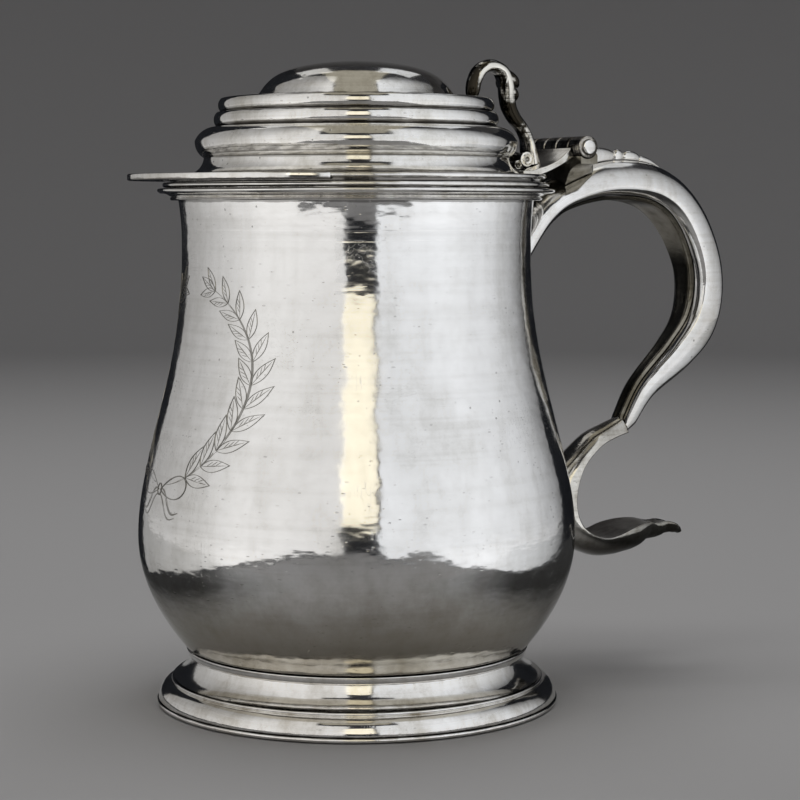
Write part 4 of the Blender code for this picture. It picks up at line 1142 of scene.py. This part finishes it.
def buildHandle():
    upper, lower = upperFrames(), lowerFrames()
    mitreEnds(upper, lower)
    backs, straps = [], []
    for i, (point, out, depth, width) in enumerate(upper):
        late = changeAt(i / (len(upper) - 1))
        half = width / 2 * (1 - handle["narrower"] * late)
        if i < len(upper) - 1:  # the mitred end keeps its own place and depth
            depth = depth * (1 + handle["deeper"] * late)
            point = point - out * (handle["nearer"] * late)
        strap = half * blend(handle["strapShare"], handle["strapLow"], late)
        flank = depth * blend(handle["flankShare"], handle["flankLow"], late)
        backs.append(inPlane(point, out, backSection(half, depth, flank, strap, late)))
        straps.append(inPlane(point, out, strapSection(half, flank, strap, late)))
    scrolls = [inPlane(point, out, scrollSection(width / 2, depth)) for point, out, depth, width in lower]
    cutter = buildSeatCutter()
    # the strap takes the silver with painted shade
    for name, rings, material, nodes in (
            ("handleBack", backs, handleSilver, ["handle_back"]),
            ("handleStrap", straps, paintedShadeSilver, ["handle_face"]),
            ("lowerScroll", scrolls, scrollSilver, ["lower_scroll", "handle_terminal"])):
        piece = sweepRings(name, rings)
        cutAway(piece, cutter)
        dress(piece, "vessel", material, nodes, 40)
    bpy.data.objects.remove(cutter, do_unlink=True)
    return upper


upper = buildHandle()
print("handle swept")


def backLine():
    return [(point[0] + out[0] * depth, point[1] + out[1] * depth) for point, out, depth, width in upper]


def heightAt(line, x):
    # the highest point of a line in the handle's plane at one distance from the axis
    heights = []
    for (x0, z0), (x1, z1) in zip(line, line[1:]):
        if x0 != x1 and min(x0, x1) <= x <= max(x0, x1):
            heights.append(z0 + (z1 - z0) * (x - x0) / (x1 - x0))
    return max(heights)


def backDrop(x, side):
    # how far the handle's rounded back has fallen at a distance from its middle plane
    point, out, depth, width = min(upper, key=lambda f: abs(f[0][0] + f[1][0] * f[2] - x))
    return depth * (1 - handle["flankShare"]) * (1 - math.sqrt(1 - (2 * side / width) ** 2))


def buildLeaf():
    # saddle between the barrel and the handle's back, with a hollow under each end
    line = backLine()
    front, rear = hinge["out"] - hinge["leafFront"], hinge["out"] + hinge["leafBack"]
    start, end = (math.radians(degrees) for degrees in hinge["cradle"])
    cradle = [(hinge["out"] + barrelSeat * math.cos(a), hinge["height"] + barrelSeat * math.sin(a))
              for a in spread(start, end, 14)]
    shelf = hinge["height"] - barrelSeat - hinge["leafEdge"]
    sitting, reach = hinge["leafFoot"] / 2, hinge["leafTop"] / 2
    rings = []
    for side in spread(-reach, reach, 36):
        beyond = max(0.0, (abs(side) - sitting) / (reach - sitting))
        climb = math.sqrt(1 - (1 - beyond) ** 2)
        tail = rear + (cradle[0][0] + 0.5 - rear) * climb
        under = []
        for x in spread(front, tail, 6):
            seat = heightAt(line, x) + solderGap - backDrop(x, min(abs(side), sitting))
            under.append((x, seat + (max(shelf, seat) - seat) * climb))
        heel = (tail, max(under[-1][1] + 0.5, cradle[0][1] - 0.9))
        shoulder = ((heel[0] + cradle[0][0]) / 2, (heel[1] + cradle[0][1]) / 2 + 0.1)
        outline = under + [heel, shoulder] + cradle
        rings.append([Vector((axisX + x * mm, side * mm, z * mm)) for x, z in outline])
    piece = sweepRings("handleHingeLeaf", rings)
    # the leaf takes the silver with painted shade
    dress(piece, "vessel", paintedShadeSilver, ["handle_hinge_plate"], 50)


buildLeaf()

drop = {
    # length, half width and height at the start, the same at the end, how full the ends are
    "lobes": [(12.4, 3.2, 6.0, 1.8, 3.4, 0.22), (3.9, 1.75, 3.3, 1.7, 3.2, 0.5),
              (6.6, 1.9, 3.0, 1.8, 2.7, 0.5), (9.0, 1.9, 2.3, 0.6, 0.5, 0.5)],
    "waist": 0.5, "footShare": 0.85, "leastSide": 0.35, "undercut": 0.2, "steps": 12,
}


def dropSize(travelled):
    # half width and height of the drop at a distance from its start, or nothing beyond its end
    done = 0.0
    for length, wide, high, wideEnd, highEnd, full in drop["lobes"]:
        if travelled <= done + length:
            share = (travelled - done) / length
            swell = drop["waist"] + (1 - drop["waist"]) * math.sin(math.pi * share) ** full
            return (wide + (wideEnd - wide) * share) * swell, (high + (highEnd - high) * share) * swell
        done += length
    return None


def dropPath():
    # closely spaced points along the handle's back, from behind the hinge leaf
    backs = [(point + out * depth, out, width, depth) for point, out, depth, width in upper]
    start = hinge["out"] + hinge["leafBack"] + solderGap
    path = []
    for (here, out, width, depth), (there, outEnd, widthEnd, depthEnd) in zip(backs, backs[1:]):
        if there[0] <= start:
            continue
        begin = max(0.0, (start - here[0]) / (there[0] - here[0])) if there[0] > here[0] else 0.0
        for k in range(drop["steps"]):
            f = begin + (1 - begin) * k / drop["steps"]
            path.append((here.lerp(there, f), out.lerp(outEnd, f).normalized(),
                         blend(width, widthEnd, f), blend(depth, depthEnd, f)))
    return path


def dropSection(wide, high, width, depth):
    # underside that follows the handle's back, then the rounded lobe
    flank = depth * handle["flankShare"]
    footHalf = wide * drop["footShare"]
    ring = [(u, flank + (depth - flank) * math.sqrt(1 - (2 * u / width) ** 2) - depth + solderGap)
            for u in spread(-footHalf, footHalf, 6)]
    middle = max(high - wide, high * drop["leastSide"])
    for a in spread(-drop["undercut"], math.pi + drop["undercut"], 18):
        ring.append((wide * math.cos(a), solderGap + middle + (high - middle) * math.sin(a)))
    return ring


def buildDrop():
    path = dropPath()
    rings, travelled, here = [], 0.0, path[0][0]
    for point, out, width, depth in path:
        travelled += (point - here).length
        here = point
        size = dropSize(travelled)
        if not size:
            break
        rings.append(inPlane(point, out, dropSection(*size, width, depth)))
    piece = sweepRings("handleDrop", rings)
    dress(piece, "vessel", handleSilver, ["handle_drop"], 60)


buildDrop()
print("hinge leaf and drop made")

thumb = {
    "footIn": 11.6, "footShift": 0.4, "footGap": 0.35, "footThick": 2.4, "footWide": 4.6,
    "ridge": 0.16, "ridgeSharp": 6, "sideRound": 0.85, "faceRound": 0.9,
    # out from the vessel's axis, height, half thickness, half width
    "scroll": [(63.4, 177.0, 1.7, 4.2), (62.8, 180.0, 1.7, 3.4), (60.9, 183.4, 1.8, 3.0),
               (58.0, 186.6, 2.0, 3.0), (56.0, 190.0, 2.2, 3.2), (55.3, 193.4, 2.3, 3.5),
               (55.0, 196.8, 2.3, 3.7), (54.2, 199.6, 2.2, 3.8), (52.6, 202.0, 2.0, 3.8),
               (49.5, 203.3, 1.9, 3.8), (46.6, 202.8, 1.9, 3.8), (44.3, 201.0, 1.9, 3.7),
               (42.9, 198.0, 1.9, 3.5), (42.4, 195.2, 1.8, 3.3), (42.2, 193.4, 1.4, 2.6),
               (42.2, 192.8, 0.7, 1.6)],
    "beak": [(53.2, 199.4, 3.2, 3.7), (55.4, 199.1, 3.0, 3.6), (57.4, 198.2, 2.2, 3.2),
             (58.8, 197.0, 0.9, 1.8), (59.2, 196.5, 0.3, 0.6)],
    "bump": [(55.0, 195.2, 2.2, 3.6), (56.8, 194.8, 1.9, 3.4), (58.0, 193.6, 1.2, 2.6),
             (58.2, 192.2, 0.4, 1.0)],
    # out from the vessel's axis, radius, half length
    "roll": (61.0, 2.5, 4.2), "lowRoll": (58.2, 1.5, 3.4), "rollGap": 0.25,
}


def sweepCast(name, stations, sides=24, steps=8):
    # rounded ribbon in the handle's plane with a soft ridge along one face
    rings = []
    for point, out, thick, wide in framesAlong(smoothLine(stations, steps)):
        ring = []
        for a in roundAngles(sides):
            c, s = math.cos(a), math.sin(a)
            ridge = 1.0 + thumb["ridge"] * max(0.0, s) ** thumb["ridgeSharp"]
            ring.append((wide * math.copysign(abs(c) ** thumb["sideRound"], c),
                         -thick * ridge * math.copysign(abs(s) ** thumb["faceRound"], s)))
        rings.append(inPlane(point, out, ring))
    return sweepRings(name, rings)


def buildRoll(name, out, radius, half):
    # small volute lying across the plate, its ends cut in steps
    height = heightAt(lidPlateLine, out) + thumb["rollGap"] + radius
    # shares of the radius, and how far in from the end
    steps = [(0.0, 0.9), (0.3, 0.9), (0.35, 0.2), (0.6, 0.0), (0.75, 0.5), (0.95, 0.5), (1.0, 1.0)]
    profile = [(radius * share, half - inset) for share, inset in steps]
    profile += [(radius * 0.86, half * 0.4), (radius * 0.8, 0.0)]
    profile += [(r, -h) for r, h in reversed(profile[:-1])]
    centre = axis + towardHandle * (out * mm) + upright * (height * mm)
    return turnProfile(name, profile, centre, upright, across, 40, closed=False)


def buildThumbpiece():
    x = hinge["out"] - thumb["footIn"]
    base = heightAt(lidPlateLine, x) + thumb["footGap"]
    stem = [(x + thumb["footShift"], base, thumb["footThick"], thumb["footWide"])] + thumb["scroll"]
    parts = [sweepCast("thumbScroll", stem), sweepCast("thumbBeak", thumb["beak"], 16, 6),
             sweepCast("thumbBump", thumb["bump"], 16, 6), buildRoll("thumbRoll", *thumb["roll"]),
             buildRoll("thumbLowRoll", *thumb["lowRoll"])]
    piece = joinPieces("thumbScroll", parts)
    dress(piece, "cover", castSilver, ["thumbpiece"], 60)


buildThumbpiece()
print("thumbpiece made")

studio = {
    # camera: degrees round the tankard, distance and height in mm, degrees down and aside, lens in mm
    "turn": 27.0, "distance": 701.0, "height": 158.0, "pitch": 5.05, "yaw": 1.127, "lens": 99.0,
    "floorTone": 0.6, "floorTint": (1.0, 0.985, 0.98), "floorFlat": 600.0, "floorRadius": 1700.0,
    "floorSunk": 0.2, "wallRadius": 2700.0, "wallHeight": 2200.0,
    "worldTone": 0.03, "worldTint": (1.0, 1.0, 1.1),
}
viewTurn = math.radians(studio["turn"])
rightward = Vector((math.cos(viewTurn), -math.sin(viewTurn), 0.0))
away = Vector((math.sin(viewTurn), math.cos(viewTurn), 0.0))


def tinted(tone, tint):
    return (*(tone * share for share in tint), 1)


def makePaper(name, inputs):
    paper = bpy.data.materials.new(name)
    paper.use_nodes = True
    setInputs(paper.node_tree.nodes["Principled BSDF"], inputs)
    return paper


def buildCamera():
    deselectAll()
    spot = axis - away * (studio["distance"] * mm) + upright * (studio["height"] * mm)
    turn = (math.radians(90 - studio["pitch"]), 0.0, -math.radians(studio["turn"] + studio["yaw"]))
    bpy.ops.object.camera_add(location=spot, rotation=turn)
    camera = bpy.context.object
    camera.name = "studioCamera"
    camera.data.lens = studio["lens"]
    camera.data.sensor_width = 36.0
    camera.data.clip_start = 0.05
    camera.data.clip_end = 20.0
    scene.camera = camera


def buildFloor():
    # round sheet of paper that curves up into its own wall
    sunk, edge = studio["floorSunk"], studio["floorRadius"]
    span, rise = studio["wallRadius"] - edge, studio["wallHeight"]
    curve = [(edge + span * math.sin(a), rise * (1 - math.cos(a)) - sunk)
             for a in spread(0.0, math.pi / 2, 16)]
    profile = [(0.0, -sunk), (studio["floorFlat"], -sunk)] + curve
    floor = turnProfile("studioFloor", profile, steps=72, closed=False)
    makeActive(floor)
    bpy.ops.object.shade_smooth()
    # no sheen, so the panels draw no line on it
    floor.data.materials.append(makePaper("floorPaper", {
        "Base Color": tinted(studio["floorTone"], studio["floorTint"]), "Roughness": 1.0,
        "Specular IOR Level": 0.0}))


def addSoftBox(name, spot, width, height, radiance, colour, rotation=(0, 0, 0)):
    bpy.ops.object.light_add(type="AREA", location=spot, rotation=rotation)
    lamp = bpy.context.object
    lamp.name = name
    lamp.data.shape = "RECTANGLE"
    lamp.data.size = width
    lamp.data.size_y = height
    lamp.data.energy = math.pi * width * height * radiance
    lamp.data.color = colour
    lamp.visible_camera = False
    return lamp


def inStudio(right, back, up):
    # metres to the right of the tankard's axis, away from the camera and up
    return axis + rightward * right + away * back + upright * up


def buildPanel(name, start, end, low, high, near, far, colour, fadeFrom):
    # upright soft box from start to end in plan (right, away), facing the tankard
    # its strength goes from near to far at the rear
    begin, finish = Vector(start), Vector(end)
    middle, run = (begin + finish) / 2, finish - begin
    normal = Vector((-run[1], run[0])).normalized()
    if normal.dot(middle) > 0:
        normal = -normal
    lamp = addSoftBox(name, inStudio(*middle, (low + high) / 2), run.length, high - low, 1.0, colour)
    lamp.data.use_nodes = True
    tree = lamp.data.node_tree
    along = splitPlace(tree, addNode(tree, "ShaderNodeTexCoord").outputs["UV"])["X"]
    rear = 1.0 if middle[0] > 0 else 0.0
    fade = rangeNode(tree, along, fadeFrom if rear else 1 - fadeFrom, rear, (near, far))
    tree.links.new(fade, tree.nodes["Emission"].inputs["Strength"])
    lamp.rotation_mode = "QUATERNION"
    lamp.rotation_quaternion = (rightward * normal[0] + away * normal[1]).to_track_quat("-Z", "Y")
    lamp.visible_diffuse = False


def buildOverhead(name, rightSpan, awaySpan, height, radiance, colour):
    # level soft box facing down, spans in plan (right, away)
    spot = inStudio(sum(rightSpan) / 2, sum(awaySpan) / 2, height)
    return addSoftBox(name, spot, rightSpan[1] - rightSpan[0], awaySpan[1] - awaySpan[0], radiance, colour,
                      (0, 0, -viewTurn))


def buildCard(name, corners, material):
    # four-cornered card, corners (right, away, up), seen only in the silver
    deselectAll()
    bpy.ops.mesh.primitive_plane_add(size=1.0, location=(0, 0, 0))
    card = nameIt(name)
    before = [v.co.copy() for v in card.data.vertices]
    editAll(card)
    layRing(card, before, [inStudio(*corner) for corner in corners])
    bpy.ops.object.mode_set(mode="OBJECT")
    card.data.materials.append(material)
    card.visible_camera = False
    card.visible_diffuse = False
    card.visible_shadow = False


flagCloth = makePaper("flagCloth", {"Base Color": (0.02, 0.024, 0.035, 1), "Roughness": 0.9})


def buildFlag(name, start, end, high, highEnd=None):
    # upright black card on the floor from start to end in plan
    buildCard(name, [(*start, 0.0), (*end, 0.0), (*start, high), (*end, highEnd or high)], flagCloth)


floorShade = {
    "inner": 0.07, "outer": 0.6, "front": -0.16, "rear": 1.0, "level": 0.0003, "tone": 0.07,
    "sideFade": (0.07, 0.14), "frontFade": (-0.16, -0.03),
}


def makeShadePaper():
    # the floor's own tone beside the foot, dark further off
    paper = makePaper("shadePaper", {"Specular IOR Level": 0.0})
    tree = paper.node_tree
    place = addNode(tree, "ShaderNodeTexCoord").outputs["Object"]
    offsets = []
    for direction in (rightward, away):
        along = addNode(tree, "ShaderNodeVectorMath", operation="DOT_PRODUCT")
        tree.links.new(place, along.inputs[0])
        along.inputs[1].default_value = direction
        offsets.append(mathNode(tree, "SUBTRACT", along.outputs["Value"], axis.dot(direction)))
    beside = rangeNode(tree, mathNode(tree, "ABSOLUTE", offsets[0]), *floorShade["sideFade"])
    behind = rangeNode(tree, offsets[1], *floorShade["frontFade"])
    grey = (1.0, 1.0, 1.0)
    colour = mixColour(tree, mathNode(tree, "MULTIPLY", beside, behind), tinted(studio["floorTone"], grey),
                       tinted(floorShade["tone"], grey))
    tree.links.new(colour, tree.nodes["Principled BSDF"].inputs["Base Color"])
    return paper


def buildFloorShade():
    paper = makeShadePaper()
    for name, side in (("leftFloorShade", -1), ("rightFloorShade", 1)):
        buildCard(name, [(side * right, back, floorShade["level"])
                         for back in (floorShade["front"], floorShade["rear"])
                         for right in (floorShade["inner"], floorShade["outer"])], paper)


# places in plan (right, away) in metres from the tankard's axis
softBoxes = {
    "left": (-0.36, -0.55), "right": (0.36, -0.55), "leftEnd": (-0.15, 0.12), "rightTurn": (0.19, -0.05),
    "rightEnd": (0.3, 0.22), "leftGap": (-0.086, -0.70), "rightGap": (0.143, -0.70),
    "bottom": 0.0005, "top": 1.0, "cool": (0.945, 0.968, 1.0), "neutral": (1.0, 0.99, 0.975),
    "warm": (1.0, 0.93, 0.74), "white": (1.0, 1.0, 1.0),
    "stripsAt": 0.98,  # the strips stand just in front of the panels' feet
}


def buildPanels():
    low, top = softBoxes["bottom"], softBoxes["top"]
    # name, from, to, strength near and far, colour, where the fade starts
    for name, start, end, near, far, colour, fadeFrom in (
            ("leftSoftBox", "left", "leftEnd", 0.74, 0.28, "neutral", 0.55),
            ("leftFrontSoftBox", "left", "leftGap", 0.71, 0.71, "neutral", 0.45),
            ("rightSoftBox", "right", "rightTurn", 0.84, 0.72, "cool", 0.82),
            ("rightRearSoftBox", "rightTurn", "rightEnd", 0.9, 0.12, "cool", -0.45),
            ("rightFrontSoftBox", "rightGap", "right", 0.82, 0.82, "cool", 0.45)):
        buildPanel(name, softBoxes[start], softBoxes[end], low, top, near, far, softBoxes[colour], fadeFrom)
    # warm light through the gap between the front panels
    buildPanel("warmCard", (-0.158, -1.2), (0.215, -1.2), 0.217, 1.1, 1.1, 1.1, softBoxes["warm"], 0.45)


def buildFlags():
    buildFlag("frontFlag", (-0.25, -1.1), (0.25, -1.1), 0.2)
    buildFlag("leftRearFlag", softBoxes["leftEnd"], (-0.1, 0.75), 0.45)
    buildFlag("rightRearFlag", softBoxes["rightEnd"], (0.2, 0.6), 0.4)
    buildFloorShade()
    # name, from, to, height at both ends
    for name, start, end, high, highEnd in (
            ("leftStrip", "left", "leftEnd", 0.014, 0.003),
            ("leftFrontStrip", "left", "leftGap", 0.014, 0.02),
            ("rightStrip", "right", "rightTurn", 0.014, 0.003),
            ("rightRearStrip", "rightTurn", "rightEnd", 0.003, 0.006),
            ("rightFrontStrip", "right", "rightGap", 0.014, 0.02)):
        begin, finish = (Vector(softBoxes[key]) * softBoxes["stripsAt"] for key in (start, end))
        buildFlag(name, begin, finish, high, highEnd)


def buildOverheads():
    top = softBoxes["top"]
    buildOverhead("leftTopSoftBox", (-0.5, -0.15), (0.42, 1.0), top, 0.55, softBoxes["neutral"])
    buildOverhead("rightTopSoftBox", (0.13, 0.46), (0.42, 1.0), top, 0.65, softBoxes["cool"])
    slit = buildOverhead("topSlit", (-0.34, 0.32), (-0.6, 0.75), 1.35, 0.3, softBoxes["warm"])
    slit.visible_diffuse = False
    # lights the floor and doesn't show in the silver
    fill = buildOverhead("floorFill", (-0.6, 0.6), (-0.6, 0.6), 1.6, 2.2, softBoxes["white"])
    fill.visible_glossy = False


def buildWorld():
    world = bpy.data.worlds.new("studioWorld")
    world.use_nodes = True
    sky = tinted(studio["worldTone"], studio["worldTint"])
    setInputs(world.node_tree.nodes["Background"], {"Color": sky})
    scene.world = world


buildCamera()
buildFloor()
deselectAll()
buildPanels()
buildFlags()
buildOverheads()
buildWorld()
scene.view_settings.view_transform = "Standard"
print("studio set")

deselectAll()
